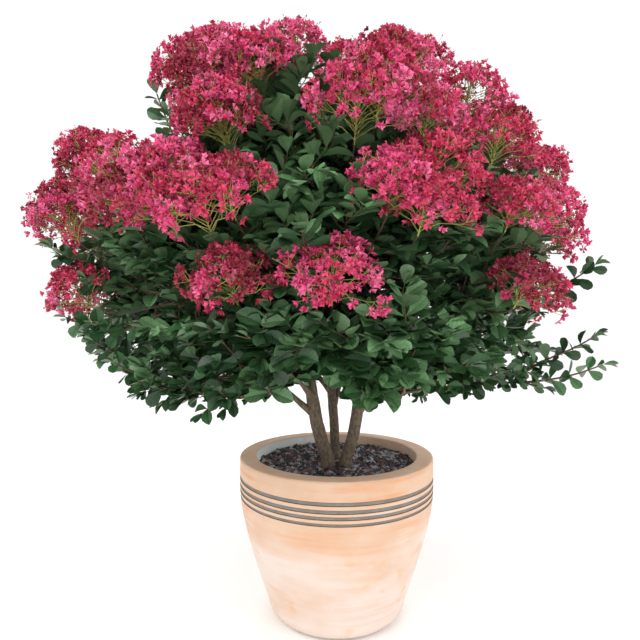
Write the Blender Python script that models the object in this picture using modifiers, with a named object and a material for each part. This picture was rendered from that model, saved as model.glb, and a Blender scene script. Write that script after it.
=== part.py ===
"""A crape myrtle in a turned terracotta pot: three stems, their boughs, and the masses of leaf and blossom.

The pot stands on the origin with +Z up. Every limb and mass is worked out from the sizes below: leaders rise from
the soil, boughs arch out of them towards evenly spread directions, and each bough carries one mass of twigs that
keeps to its own wedge of the crown. Lengths are metres and angles are degrees.
"""

import math
import random
from dataclasses import dataclass, field

import bmesh
import bpy
from mathutils import Matrix, Vector
from mathutils.geometry import interpolate_bezier, intersect_point_line

SEED = 11
GAP = 0.0003  # clear space between two pieces that meet
UP = Vector((0, 0, 1))

# Pot
POT_HEIGHT = 0.358
RIM_RADIUS = 0.2235
MOUTH_RADIUS = 0.185
FOOT_RADIUS = 0.115  # the flat the pot stands on
FOOT_ROUNDING = 0.034  # how high the rounded foot turns into the wall
FOOT_SPREAD = 0.158  # radius where that turn ends
BELLY_HEIGHT, BELLY_RADIUS = 0.161, 0.1987
SHOULDER_HEIGHT, SHOULDER_RADIUS = 0.256, 0.2205
WALL_AT_FOOT = 0.028
FLOOR_THICKNESS = 0.035
RIM_ROUNDING, RIM_CHAMFER = 0.004, 0.003  # its outer and inner edge
GROOVE_HEIGHTS = (0.274, 0.287, 0.2995, 0.3146)
GROOVE_WIDTH, GROOVE_DEPTH = 0.007, 0.0018
POT_SEGMENTS = 36

# Soil
SOIL_DROP = 0.022  # from the rim's top down to the soil
SOIL_TOP = POT_HEIGHT - SOIL_DROP

# Crown: an egg round CROWN_CENTRE, seen from the heart that its limbs point away from
HEART = Vector((-0.03, 0.0, 0.60))
CROWN_CENTRE = Vector((-0.04, 0.0, 0.75))
CROWN_RADIUS, CROWN_RISE, CROWN_DROP = 0.600, 0.54, 0.25

# Stems: base on the soil, the fork above it and the radius there; each leader then climbs to a top mass
STEM_BASES = {"left": (-0.0205, -0.033), "right": (0.0215, -0.033), "back": (-0.001, 0.034)}
STEM_FORKS = {"left": (-0.047, -0.042, 0.446), "right": (0.045, -0.044, 0.452), "back": (-0.006, 0.046, 0.450)}
STEM_RADII = {"left": 0.0150, "right": 0.0132, "back": 0.0112}
LEADER_TIP_RADIUS = 0.0050
ROOT_FLARE = 1.22
FLARE_HEIGHT = 0.016
LEADER_BEND, LEADER_RISE = 0.45, 0.012  # where above its fork a leader curves, and by how much
LEADER_SPANS = 4  # straight steps between two of a leader's named points
STRAIGHT_END = 0.014  # a limb's last stretch, in line with the twig that goes on from it

# Boughs
BOUGH_BASE_RADIUS, BOUGH_TIP_RADIUS = 0.0072, 0.0044
THINNER_THAN_STEM = 0.7  # a bough's thickest share of its stem where it leaves
BOUGH_CLIMB, BOUGH_ARCH = 0.35, 0.36  # how far it first follows its stem, and how widely it arches
BOUGH_STEPS = 5
FIRST_BOUGH_HEIGHT, LAST_BOUGH_HEIGHT = 0.452, 0.735

# Tiers of masses: count, azimuth of the first, elevation, distance of the bough's tip from the heart
TIERS = {
    "skirt": (8, 203, -10, 0.25),
    "waist": (8, 225, 17, 0.28),
    "shoulder": (7, 219, 40, 0.30),
    "top": (3, 222, 67, 0.30),
}
BLOSSOM_TIERS = ("shoulder", "top")  # where blossom shows more than leaf
CELL_MARGIN = 0.0015  # a mass stays this far inside its wedge
LIMB_MARGIN = 0.005

# Rows of flower heads up the crown: elevation, azimuths on the front, step round the rest
HEAD_ROWS = (
    (10, (213, 256, 271, 304), 34),
    (22, (210, 236, 258, 282, 300, 313, 330), 31),
    (34, (208, 229, 254, 272, 287, 305, 326), 34),
    (46, (214, 236, 262, 283, 306, 324), 40),
    (59, (232, 255, 293, 310), 44),
    (77, (), 90),
)
FRONT_START, FRONT_END = 200, 338
HEAD_JITTER = 2.0
HEAD_RADIUS, HEAD_HEIGHT = 0.066, 0.125
HEAD_STAND = 0.035  # how far a head stands out of the leaves' outline
HEAD_SEAT = 0.4  # share of its height at which a head's middle stands above its shoot's end
HEAD_TAPER, HEAD_ROUGHNESS = 0.45, 0.24  # how much a head narrows to its top, and how much its corners vary
NUDGES, NUDGE_SHARE, NUDGE_SIZE = 8, 0.05, 0.96  # how a head is moved and shrunk until it keeps to its wedge

# Leafy shoots between the heads, spread evenly over the crown
LEAFY_LATTICE = 84
LOWEST_SHOOT = -25
CLEAR_OF_HEAD = 10.5
LEAFY_REACH = (0.80, 0.90)  # share of the crown's reach at which a leafy shoot ends
STRAY_LEAF = 0.8  # share of a leaf that stands past the end of a long shoot
# Long shoots that leave the outline: azimuth, elevation, distance of the tip from the heart
STRAY_SHOOTS = (
    (328, 5, 0.585), (333, 0, 0.580), (332, 17, 0.610), (229, 44, 0.643),
    (212, 17, 0.620), (213, 6, 0.557), (212, 0, 0.500), (213, -8, 0.457),
)

# Twigs and leaves
STEM_LENGTH = 0.10  # the twig that all of a mass's shoots leave
SHOOT_STARTS = (0.45, 0.95)  # the stretch of that twig that they leave from
TWIG_RADIUS, SHOOT_RADIUS, SHOOT_TIP_RADIUS = 0.0042, 0.0030, 0.0018
SHOOT_STEPS = 3
SHOOT_LEAVE, SHOOT_ARRIVE, SHOOT_LIFT = 0.30, 0.25, 0.10  # its arch, as shares of its length
LEAF_LENGTH, LEAF_WIDTH, LEAF_THICKNESS = 0.104, 0.058, 0.0020
LEAF_ANGLES = (42, 66)  # between a leaf and its twig
LEAF_TURN = 137  # from one leaf round its twig to the next
LEAF_SIZES, END_LEAF_SIZES, HEAD_SIZES = (0.85, 1.15), (0.8, 1.0), (0.94, 1.10)
ROOT_SINK = 0.006  # how deep a leaf on a shoot's end is rooted in it
LEAFY_STRETCH = (0.35, 0.95)  # the stretch of a shoot that bears leaves
LEAF_SHOULDER = 0.14  # how far past its middle a leaf is widest, as a share of its length
LEAVES_ON_BLOOMING, LEAVES_ON_LEAFY, LEAVES_ON_STEM = 3, 5, 2
CORE_RADIUS, CORE_LENGTH = 0.050, 0.140  # the dense inside of a mass
CORE_TAPER, CORE_ROUGHNESS = 0.0, 0.15


@dataclass
class Limb:
    """A tapering limb: its centre line and the radius at each point of it."""

    name: str
    points: list
    radii: list

    def clear_of(self, point, margin):
        """Whether a point lies further than the margin from the limb's surface."""
        for (a, b), radius in zip(zip(self.points, self.points[1:]), self.radii):
            foot, share = intersect_point_line(point, a, b)
            foot = a if share < 0 else b if share > 1 else foot
            if (point - foot).length < radius + margin:
                return False
        return True


@dataclass
class Mass:
    """One wedge of the crown and the shoots that end in it."""

    name: str
    tier: str
    azimuth: float
    direction: Vector
    tip: Vector
    walls: list = field(default_factory=list)  # normals of the planes through the heart that bound the wedge
    shoots: list = field(default_factory=list)

    def holds(self, point, margin=CELL_MARGIN):
        """Whether a point lies in the wedge, the margin inside its walls."""
        return all((point - HEART).dot(wall) > margin for wall in self.walls)


# ---------------------------------------------------------------- directions and the crown's shape


def unit(azimuth, elevation):
    """The direction at these angles: azimuth 0 is +X and 90 is +Y."""
    turn, rise = math.radians(azimuth), math.radians(elevation)
    return Vector((math.cos(turn) * math.cos(rise), math.sin(turn) * math.cos(rise), math.sin(rise)))


def crown_reach(direction):
    """How far the crown's surface lies from the heart along a direction."""
    offset = HEART - CROWN_CENTRE
    for semi_axis, above in ((CROWN_RISE, True), (CROWN_DROP, False)):
        stretch = CROWN_RADIUS / semi_axis
        start = Vector((offset.x, offset.y, offset.z * stretch))
        step = Vector((direction.x, direction.y, direction.z * stretch))
        a, b, c = step.dot(step), start.dot(step), start.dot(start) - CROWN_RADIUS**2
        reach = (-b + math.sqrt(b * b - a * c)) / a
        if (offset.z + reach * direction.z > 0) == above:
            break
    return reach


def head_directions(rng):
    """The direction of every flower head: the front ones by name, the others at even steps round each row."""
    heads = []
    for elevation, front, step in HEAD_ROWS:
        span = 360 - (FRONT_END - FRONT_START) if front else 360
        count = round(span / step)
        rest = [FRONT_END + span * (k + 0.5) / count for k in range(count)]
        for azimuth in (*front, *rest):
            jitter = 0 if azimuth in front else HEAD_JITTER
            heads.append(unit(azimuth + rng.uniform(-jitter, jitter), elevation + rng.uniform(-jitter, jitter)))
    return heads


def leafy_directions(heads):
    """Directions on an even spiral over the crown, leaving out those that a flower head covers."""
    golden = math.pi * (3 - math.sqrt(5))
    lowest = math.sin(math.radians(LOWEST_SHOOT))
    clear = math.cos(math.radians(CLEAR_OF_HEAD))
    found = []
    for k in range(LEAFY_LATTICE):
        rise = lowest + (1 - lowest) * (k + 0.5) / LEAFY_LATTICE
        flat = math.sqrt(1 - rise * rise)
        direction = Vector((flat * math.cos(k * golden), flat * math.sin(k * golden), rise))
        if all(direction.dot(head) < clear for head in heads):
            found.append(direction)
    return found


# ---------------------------------------------------------------- the plant's plan


def make_masses():
    """The wedges of the crown, tier by tier, with the planes between them."""
    masses = []
    for tier, (count, first, elevation, distance) in TIERS.items():
        for k in range(count):
            azimuth = (first + 360 * k / count) % 360
            direction = unit(azimuth, elevation)
            tip = HEART + direction * distance
            masses.append(Mass(f"{tier}_mass_{k + 1}", tier, azimuth, direction, tip))
    for mass in masses:
        others = [other for other in masses if other is not mass]
        mass.walls = [(mass.direction - other.direction).normalized() for other in others]
    return masses


def give_shoots(masses, rng):
    """Hands every shoot to the wedge it ends in: (direction, end distance from the heart, whether it flowers)."""
    heads = head_directions(rng)
    shoots = [(head, crown_reach(head) + HEAD_STAND - HEAD_HEIGHT, True) for head in heads]
    for direction in leafy_directions(heads):
        shoots.append((direction, crown_reach(direction) * rng.uniform(*LEAFY_REACH), False))
    for azimuth, elevation, distance in STRAY_SHOOTS:
        shoots.append((unit(azimuth, elevation), distance - LEAF_LENGTH * STRAY_LEAF, False))
    for shoot in shoots:
        nearest = max(masses, key=lambda mass: mass.direction.dot(shoot[0]))
        nearest.shoots.append(shoot)


def smooth_path(points, spans):
    """Points along a smooth curve through the given ones."""
    path = [points[0]]
    for k in range(len(points) - 1):
        before, a, b = points[max(k - 1, 0)], points[k], points[k + 1]
        after = points[min(k + 2, len(points) - 1)]
        path += interpolate_bezier(a, a + (b - before) / 6, b - (after - a) / 6, b, spans + 1)[1:]
    return path


def make_leader(name, mass):
    """A stem from its flat cut on the soil, flared at the root, through its fork to its top mass."""
    base = Vector((*STEM_BASES[name], SOIL_TOP + GAP))
    fork = Vector(STEM_FORKS[name])
    flared = base + UP * FLARE_HEIGHT
    bend = fork.lerp(mass.tip, LEADER_BEND) + UP * LEADER_RISE
    last = mass.tip - mass.direction * STRAIGHT_END
    path = [base, *smooth_path([flared, fork, bend, last], LEADER_SPANS), mass.tip]
    radii = []
    for k, point in enumerate(path):
        share = max(0.0, (point.z - fork.z) / (mass.tip.z - fork.z))
        radii.append(STEM_RADII[name] * (1 - share) + LEADER_TIP_RADIUS * share)
    radii[0] *= ROOT_FLARE
    return Limb(f"{name}_stem", path, radii)


def at_height(limb, height):
    """The point of a limb's centre line at a height, with the line's direction and the limb's radius there."""
    for k, (a, b) in enumerate(zip(limb.points, limb.points[1:])):
        if a.z <= height <= b.z:
            share = (height - a.z) / (b.z - a.z)
            radius = limb.radii[k] * (1 - share) + limb.radii[k + 1] * share
            return a.lerp(b, share), (b - a).normalized(), radius
    raise ValueError(f"{limb.name} doesn't reach {height}")


def make_bough(leader, mass, height):
    """A limb that leaves its leader's centre line at a height and arches out to the foot of its mass."""
    start, climb, stem_radius = at_height(leader, height)
    length = (mass.tip - start).length
    outward = (mass.tip - start).normalized()
    leave = (climb * BOUGH_CLIMB + outward).normalized()
    handle = length * BOUGH_ARCH
    last = mass.tip - mass.direction * STRAIGHT_END
    points = [
        *interpolate_bezier(start, start + leave * handle, last - mass.direction * handle, last, BOUGH_STEPS),
        mass.tip,
    ]
    base_radius = min(BOUGH_BASE_RADIUS, stem_radius * THINNER_THAN_STEM)
    taper = BOUGH_TIP_RADIUS - base_radius
    radii = [base_radius + taper * k / BOUGH_STEPS for k in range(BOUGH_STEPS + 1)]
    return Limb(mass.name.replace("mass", "bough"), points, radii)


def make_limbs(masses):
    """The three leaders, and for each its boughs from the lowest mass to the highest."""
    tops = [mass for mass in masses if mass.tier == "top"]
    leaders, boughs = {}, []
    for name, top in zip(("left", "right", "back"), tops):
        leader = make_leader(name, top)
        leaders[name] = leader
        served = [
            mass for mass in masses
            if mass.tier != "top" and max(tops, key=lambda t: unit(t.azimuth, 0).dot(unit(mass.azimuth, 0))) is top
        ]
        served.sort(key=lambda mass: (mass.direction.z, mass.azimuth))
        rise = (LAST_BOUGH_HEIGHT - FIRST_BOUGH_HEIGHT) / (len(served) - 1)
        for k, mass in enumerate(served):
            boughs.append((make_bough(leader, mass, FIRST_BOUGH_HEIGHT + k * rise), name))
    return leaders, boughs


# ---------------------------------------------------------------- Blender helpers


def clear_scene():
    for item in list(bpy.data.objects):
        bpy.data.objects.remove(item, do_unlink=True)


def new_collection(name):
    made = bpy.data.collections.new(name)
    bpy.context.scene.collection.children.link(made)
    return made


def material(name, colour, roughness):
    made = bpy.data.materials.new(name)
    made.use_nodes = True
    shader = made.node_tree.nodes["Principled BSDF"]
    shader.inputs["Base Color"].default_value = (*colour, 1)
    shader.inputs["Roughness"].default_value = roughness
    shader.inputs["Metallic"].default_value = 0.0
    return made


def add_object(name, mesh, where, finish=None):
    made = bpy.data.objects.new(name, mesh)
    where.objects.link(made)
    if finish:
        mesh.materials.clear()
        mesh.materials.append(finish)
    return made


def as_mesh(obj):
    """The object's evaluated shape as a mesh, with doubled points welded and its faces turned outwards."""
    graph = bpy.context.evaluated_depsgraph_get()
    mesh = bpy.data.meshes.new_from_object(obj.evaluated_get(graph))
    shape = bmesh.new()
    shape.from_mesh(mesh)
    bmesh.ops.remove_doubles(shape, verts=shape.verts, dist=1e-6)
    bmesh.ops.recalc_face_normals(shape, faces=shape.faces)
    shape.to_mesh(mesh)
    shape.free()
    return mesh


def tube_mesh(points, radii, profile=None, smoothness=1):
    """A closed tapering tube along points: round by default, or with a profile curve's section."""
    curve = bpy.data.curves.new("tube", "CURVE")
    curve.dimensions = "3D"
    curve.use_fill_caps = True
    if profile:
        curve.bevel_mode = "OBJECT"
        curve.bevel_object = profile
    else:
        curve.bevel_depth = 1.0
        curve.bevel_resolution = smoothness
    spline = curve.splines.new("POLY")
    spline.points.add(len(points) - 1)
    for knot, point, radius in zip(spline.points, points, radii):
        knot.co = (*point, 1)
        knot.radius = radius
    guide = add_object("tube", curve, bpy.context.scene.collection)
    mesh = as_mesh(guide)
    bpy.data.objects.remove(guide)
    bpy.data.curves.remove(curve)
    return mesh


def turned(name, profile, where, finish):
    """A solid turned round Z from a profile that runs down its outer side, closed on the axis."""
    mesh = bpy.data.meshes.new(name)
    shape = bmesh.new()
    knots = [shape.verts.new((radius, 0, height)) for radius, height in profile]
    for a, b in zip(knots, knots[1:]):
        shape.edges.new((a, b))
    shape.to_mesh(mesh)
    shape.free()
    made = add_object(name, mesh, where, finish)
    screw = made.modifiers.new("Turn", "SCREW")
    screw.steps = screw.render_steps = POT_SEGMENTS
    screw.use_merge_vertices = True
    screw.merge_threshold = 0.00005
    mesh = as_mesh(made)
    made.modifiers.clear()
    made.data = mesh
    mesh.shade_smooth()
    mesh.set_sharp_from_angle(angle=math.radians(35))
    return made


# ---------------------------------------------------------------- pot and soil


def arc(centre, radius, start, end, steps):
    """Points of a circular arc, as (radius from the axis, height)."""
    for k in range(steps + 1):
        angle = math.radians(start + (end - start) * k / steps)
        yield centre[0] + radius * math.cos(angle), centre[1] + radius * math.sin(angle)


def wall_radius(height):
    """The pot's outer radius at a height: a straight flare that eases upright towards the rim."""
    knots = (
        (FOOT_ROUNDING, FOOT_SPREAD), (BELLY_HEIGHT, BELLY_RADIUS),
        (SHOULDER_HEIGHT, SHOULDER_RADIUS), (POT_HEIGHT, RIM_RADIUS),
    )
    for (low, r_low), (high, r_high) in zip(knots, knots[1:]):
        if height <= high:
            return r_low + (r_high - r_low) * (height - low) / (high - low)
    return RIM_RADIUS


def inner_radius(height):
    """The radius of the pot's inside at a height."""
    at_floor = wall_radius(FLOOR_THICKNESS + FOOT_ROUNDING) - WALL_AT_FOOT
    share = (height - FLOOR_THICKNESS) / (POT_HEIGHT - FLOOR_THICKNESS)
    return at_floor + (MOUTH_RADIUS - at_floor) * share


def pot_profile():
    """Down the outside from the rim's inner edge, under the foot and up the inside."""
    yield from arc((RIM_RADIUS - RIM_ROUNDING, POT_HEIGHT - RIM_ROUNDING), RIM_ROUNDING, 90, 0, 2)
    for height in reversed(GROOVE_HEIGHTS):
        yield wall_radius(height), height + GROOVE_WIDTH / 2
        yield wall_radius(height) - GROOVE_DEPTH, height
        yield wall_radius(height), height - GROOVE_WIDTH / 2
    yield SHOULDER_RADIUS, SHOULDER_HEIGHT
    yield BELLY_RADIUS, BELLY_HEIGHT
    turn = FOOT_SPREAD - FOOT_RADIUS
    for k in range(4):
        angle = math.radians(90 * k / 3)
        yield FOOT_RADIUS + turn * math.cos(angle), FOOT_ROUNDING * (1 - math.sin(angle))
    yield 0.0, 0.0


def inside_profile(clear=0.0):
    """Up the pot's inside from the axis, the given amount clear of its wall and floor."""
    yield 0.0, FLOOR_THICKNESS + clear
    yield inner_radius(FLOOR_THICKNESS) - clear, FLOOR_THICKNESS + clear
    yield inner_radius(POT_HEIGHT / 2) - clear, POT_HEIGHT / 2


def build_pot(where):
    clay = material("terracotta", (0.86, 0.60, 0.45), 0.75)
    outside = list(pot_profile())
    inside = [*inside_profile(), (MOUTH_RADIUS, POT_HEIGHT - RIM_ROUNDING), (MOUTH_RADIUS + RIM_CHAMFER, POT_HEIGHT)]
    turned("pot", [*outside, *inside, outside[0]], where, clay)


def build_soil(where):
    bark = material("bark_mulch", (0.03, 0.027, 0.028), 0.9)
    edge = inner_radius(SOIL_TOP) - GAP
    side = [point for point in reversed(list(inside_profile(GAP)))]
    turned("soil", [(0.0, SOIL_TOP), (edge, SOIL_TOP), *side], where, bark)


# ---------------------------------------------------------------- limbs


def build_limbs(leaders, boughs, where):
    """Stems and boughs; each bough is cut to fit round its stem, the gap clear of it."""
    bark = material("bark", (0.19, 0.13, 0.10), 0.85)
    cutters = new_collection("cutters")
    cutters.hide_render = True
    sleeves = {}
    for name, leader in leaders.items():
        stem = add_object(leader.name, tube_mesh(leader.points, leader.radii, smoothness=2), where, bark)
        stem.data.shade_smooth()
        sleeve_mesh = tube_mesh(leader.points, [radius + GAP for radius in leader.radii], smoothness=2)
        sleeves[name] = add_object(f"{leader.name}_sleeve", sleeve_mesh, cutters)
        sleeves[name].hide_render = True
        sleeves[name].display_type = "WIRE"
    for bough, name in boughs:
        limb = add_object(bough.name, tube_mesh(bough.points, bough.radii), where, bark)
        fit = limb.modifiers.new("Fit round the stem", "BOOLEAN")
        fit.operation = "DIFFERENCE"
        fit.object = sleeves[name]
        limb.data.shade_smooth()


# ---------------------------------------------------------------- masses


def leaf_mesh():
    """A thin eight-faced leaf, one unit long from its root at the origin along +X, widest past its middle."""
    mesh = bpy.data.meshes.new("leaf")
    shape = bmesh.new()
    bmesh.ops.create_uvsphere(shape, u_segments=4, v_segments=2, radius=0.5)
    for vert in shape.verts:
        middle = abs(vert.co.x) < 0.1
        vert.co.x += 0.5 + (LEAF_SHOULDER if middle else 0)
        vert.co.y *= LEAF_WIDTH / LEAF_LENGTH
        vert.co.z *= LEAF_THICKNESS / LEAF_LENGTH
    shape.to_mesh(mesh)
    shape.free()
    return mesh


def ball_mesh():
    """A twenty-faced ball, one unit across."""
    mesh = bpy.data.meshes.new("ball")
    shape = bmesh.new()
    bmesh.ops.create_icosphere(shape, subdivisions=1, radius=0.5)
    shape.to_mesh(mesh)
    shape.free()
    return mesh


def frame_along(direction, facing):
    """A rotation whose X runs along a direction and whose Z leans towards facing."""
    x = direction.normalized()
    z = (facing - x * facing.dot(x)).normalized()
    return Matrix((x, z.cross(x), z)).transposed()


@dataclass
class Grower:
    """Grows the pieces of one mass, skipping what would leave its wedge or touch a limb."""

    mass: Mass
    limbs: list
    rng: random.Random
    profile: object
    leaf: object
    ball: object
    pieces: object  # the collection that the union reads

    def fits(self, points, margin=LIMB_MARGIN):
        return all(self.mass.holds(p) and all(limb.clear_of(p, margin) for limb in self.limbs) for p in points)

    def add_leaf(self, root, direction, facing, size):
        turn = frame_along(direction, facing)
        side = turn.col[1] * LEAF_WIDTH / 2 * size
        along = direction.normalized() * LEAF_LENGTH * size
        middle = root + along * (0.5 + LEAF_SHOULDER)
        end = root + along
        corners = [root, middle + side, end, middle - side, root]
        edges = [a.lerp(b, share) for a, b in zip(corners, corners[1:]) for share in (0.35, 0.7, 1.0)]
        if not self.fits([*edges[:-1], *(root.lerp(end, share) for share in (0.2, 0.4, 0.6, 0.8))]):
            return
        leaf = add_object("leaf", self.leaf, self.pieces)
        scale = Matrix.Scale(LEAF_LENGTH * size, 4)
        leaf.matrix_world = Matrix.Translation(root) @ turn.to_4x4() @ scale

    def uneven_ball(self, centre, direction, length, width, taper, roughness):
        """The mesh of a ball drawn out along a direction, narrower to its top, with its corners moved about."""
        turn = frame_along(direction, UP if abs(direction.z) < 0.9 else Vector((1, 0, 0))).to_4x4()
        twist = Matrix.Rotation(self.rng.uniform(0, math.tau), 4, "X")
        mesh = self.ball.copy()
        mesh.transform(twist)
        for vert in mesh.vertices:
            narrow = 1 - taper * vert.co.x
            swell = 1 + self.rng.uniform(-roughness, roughness)
            vert.co = Vector((vert.co.x * length, vert.co.y * width * narrow, vert.co.z * width * narrow)) * swell
        mesh.transform(Matrix.Translation(centre) @ turn)
        return mesh

    def add_core(self):
        centre = self.mass.tip + self.mass.direction * STEM_LENGTH
        size = (CORE_LENGTH, CORE_RADIUS * 2, CORE_TAPER, CORE_ROUGHNESS)
        add_object("core", self.uneven_ball(centre, self.mass.direction, *size), self.pieces)

    def blooming_shoot(self, stem, direction, distance):
        """A shoot with a flower head on its end, turned towards the wedge's middle until the head keeps to it."""
        size = self.rng.uniform(*HEAD_SIZES)
        for nudge in range(NUDGES):
            aim = direction.lerp(self.mass.direction, nudge * NUDGE_SHARE).normalized()
            path = self.shoot_path(stem, aim, distance)
            lean = (path[-1] - path[-2]).normalized()
            tall, wide = HEAD_HEIGHT * size, HEAD_RADIUS * 2 * size
            middle = path[-1] + lean * tall * HEAD_SEAT
            head = self.uneven_ball(middle, lean, tall, wide, HEAD_TAPER, HEAD_ROUGHNESS)
            if self.path_fits(path) and self.fits([vert.co for vert in head.vertices]):
                self.add_twig(path)
                add_object("head", head, self.pieces)
                self.leaves_along(path, LEAVES_ON_BLOOMING)
                return
            size *= NUDGE_SIZE

    def leafy_shoot(self, stem, direction, distance):
        """A shoot with leaves all along and one on its end."""
        path = self.shoot_path(stem, direction, distance)
        if self.path_fits(path):
            lean = (path[-1] - path[-2]).normalized()
            self.add_twig(path)
            self.add_leaf(path[-1] - lean * ROOT_SINK, lean, UP, self.rng.uniform(*END_LEAF_SIZES))
            self.leaves_along(path, LEAVES_ON_LEAFY)

    def shoot_path(self, stem, direction, distance):
        """An arching line from somewhere on the mass's stem to a shoot's end."""
        start = stem[0].lerp(stem[-1], self.rng.uniform(*SHOOT_STARTS))
        end = HEART + direction * distance
        length = (end - start).length
        leave = start + self.mass.direction * length * SHOOT_LEAVE
        arrive = end - direction * length * SHOOT_ARRIVE - UP * length * SHOOT_LIFT
        return interpolate_bezier(start, leave, arrive, end, SHOOT_STEPS + 1)

    def path_fits(self, path):
        along = [a.lerp(b, share / 6) for a, b in zip(path, path[1:]) for share in range(1, 7)]
        return self.fits(along, LIMB_MARGIN + SHOOT_RADIUS)

    def add_twig(self, path):
        step = (SHOOT_TIP_RADIUS - SHOOT_RADIUS) / SHOOT_STEPS
        radii = [SHOOT_RADIUS + step * k for k in range(SHOOT_STEPS + 1)]
        add_object("twig", tube_mesh(path, radii, self.profile), self.pieces)

    def leaves_along(self, path, count):
        """Leaves set on alternate sides of a shoot, most of them on its outer part."""
        turn = self.rng.uniform(0, math.tau)
        for k in range(count):
            first, last = LEAFY_STRETCH
            place = first + (last - first) * (k + 0.5) / count
            at = place * (len(path) - 1)
            low = min(int(at), len(path) - 2)
            root = path[low].lerp(path[low + 1], at - low)
            along = (path[low + 1] - path[low]).normalized()
            across = along.orthogonal().normalized()
            across = Matrix.Rotation(turn + k * math.radians(LEAF_TURN), 3, along) @ across
            angle = math.radians(self.rng.uniform(*LEAF_ANGLES))
            direction = along * math.cos(angle) + across * math.sin(angle)
            self.add_leaf(root, direction, UP + along, self.rng.uniform(*LEAF_SIZES))

    def grow(self):
        """The whole mass: its stem from the foot, and every shoot given to it."""
        foot = self.mass.tip + self.mass.direction * GAP
        top = self.mass.tip + self.mass.direction * STEM_LENGTH
        stem = [foot, foot.lerp(top, 0.5), top]
        self.add_core()
        for direction, distance, blooms in self.mass.shoots:
            grow_shoot = self.blooming_shoot if blooms else self.leafy_shoot
            grow_shoot(stem, direction, distance)
        self.leaves_along(stem, LEAVES_ON_STEM)
        return tube_mesh(stem, [TWIG_RADIUS, TWIG_RADIUS, SHOOT_RADIUS], self.profile)


def keep_one_body(mesh):
    """Leaves only the largest closed body: a loose scrap is dropped and a sealed hollow is filled."""
    shape = bmesh.new()
    shape.from_mesh(mesh)
    unseen = set(shape.verts)
    bodies = []
    while unseen:
        body, edge = set(), [unseen.pop()]
        while edge:
            vert = edge.pop()
            body.add(vert)
            for link in vert.link_edges:
                other = link.other_vert(vert)
                if other in unseen:
                    unseen.discard(other)
                    edge.append(other)
        bodies.append(body)
    bodies.sort(key=len)
    for body in bodies[:-1]:
        bmesh.ops.delete(shape, geom=list(body), context="VERTS")
    shape.to_mesh(mesh)
    shape.free()


def build_masses(masses, limbs, where):
    """Every mass: its pieces joined by one union, and the pieces then removed."""
    foliage = material("foliage", (0.035, 0.10, 0.035), 0.5)
    blossom = material("blossom", (0.62, 0.03, 0.12), 0.6)
    outline = bpy.data.curves.new("three_sided", "CURVE")
    section = outline.splines.new("POLY")
    section.points.add(2)
    for k, knot in enumerate(section.points):
        knot.co = (math.cos(math.radians(120 * k)), math.sin(math.radians(120 * k)), 0, 1)
    section.use_cyclic_u = True
    profile = add_object("three_sided", outline, bpy.context.scene.collection)
    profile.hide_render = True
    leaf, ball = leaf_mesh(), ball_mesh()
    for number, mass in enumerate(masses):
        pieces = new_collection("pieces")
        grower = Grower(mass, limbs, random.Random(SEED * 1000 + number), profile, leaf, ball, pieces)
        finish = blossom if mass.tier in BLOSSOM_TIERS else foliage
        made = add_object(mass.name, grower.grow(), where)
        join = made.modifiers.new("Join", "BOOLEAN")
        join.operation = "UNION"
        join.solver = "MANIFOLD"
        join.operand_type = "COLLECTION"
        join.collection = pieces
        mesh = as_mesh(made)
        made.modifiers.clear()
        made.data = mesh
        keep_one_body(mesh)
        mesh.materials.clear()
        mesh.materials.append(finish)
        for piece in list(pieces.objects):
            bpy.data.objects.remove(piece)
        bpy.data.collections.remove(pieces)
    bpy.data.objects.remove(profile)


def main():
    clear_scene()
    where = new_collection("potted_crape_myrtle")
    build_pot(where)
    build_soil(where)
    masses = make_masses()
    give_shoots(masses, random.Random(SEED))
    leaders, boughs = make_limbs(masses)
    build_limbs(leaders, boughs, where)
    limbs = [*leaders.values(), *(bough for bough, _ in boughs)]
    build_masses(masses, limbs, where)


main()
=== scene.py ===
"""The looks of a crape myrtle in a turned terracotta pot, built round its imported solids.

The growth plan below is the rule that shaped the solids, written again: three leaders rise from the soil,
boughs arch out of them towards evenly spread wedges of the crown, and each wedge bears shoots that end in
leaves or in a head of blossom. Here the rule runs on to side twigs, pairs of leaves, flower stalks and petals
at their real size. The pot is turned again with finer grooves and the soil is covered in bark chips. Lengths
are metres; angles are degrees unless a comment or a docstring says otherwise.
"""

import logging
import math
from collections.abc import Iterable, Sequence
from dataclasses import dataclass, field
from enum import Enum, IntEnum
from random import Random

import bpy
import numpy as np
from mathutils import Matrix, Quaternion, Vector
from mathutils.geometry import interpolate_bezier

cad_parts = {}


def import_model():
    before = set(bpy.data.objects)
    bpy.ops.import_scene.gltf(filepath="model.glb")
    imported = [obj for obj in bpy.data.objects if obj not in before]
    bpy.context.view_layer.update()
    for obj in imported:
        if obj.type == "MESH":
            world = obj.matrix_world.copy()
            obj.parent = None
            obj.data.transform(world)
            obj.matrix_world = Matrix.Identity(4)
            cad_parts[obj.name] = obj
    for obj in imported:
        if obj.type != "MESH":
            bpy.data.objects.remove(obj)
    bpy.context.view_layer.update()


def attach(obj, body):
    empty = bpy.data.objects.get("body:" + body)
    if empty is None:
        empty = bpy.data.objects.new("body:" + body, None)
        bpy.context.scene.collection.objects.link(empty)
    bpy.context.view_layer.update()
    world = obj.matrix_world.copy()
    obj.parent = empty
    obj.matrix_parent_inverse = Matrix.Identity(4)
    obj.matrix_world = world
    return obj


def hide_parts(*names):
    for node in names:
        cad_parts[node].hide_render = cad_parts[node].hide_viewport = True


log = logging.getLogger("potted_crape_myrtle")

SEED = 11
UP = Vector((0.0, 0.0, 1.0))
LEAF_PLAN = "leaf_plan"  # a leaf seen flat: along its length, and across it from 0 to 1
GOLDEN_TURN = math.pi * (3 - math.sqrt(5))
BODY = "root"

Colour = tuple[float, float, float]
Triple = tuple[float, float, float]
Pair = tuple[float, float]
Mesh = bpy.types.Mesh
Socket = bpy.types.NodeSocket
Tree = bpy.types.NodeTree


# ---- directions and curves


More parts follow.
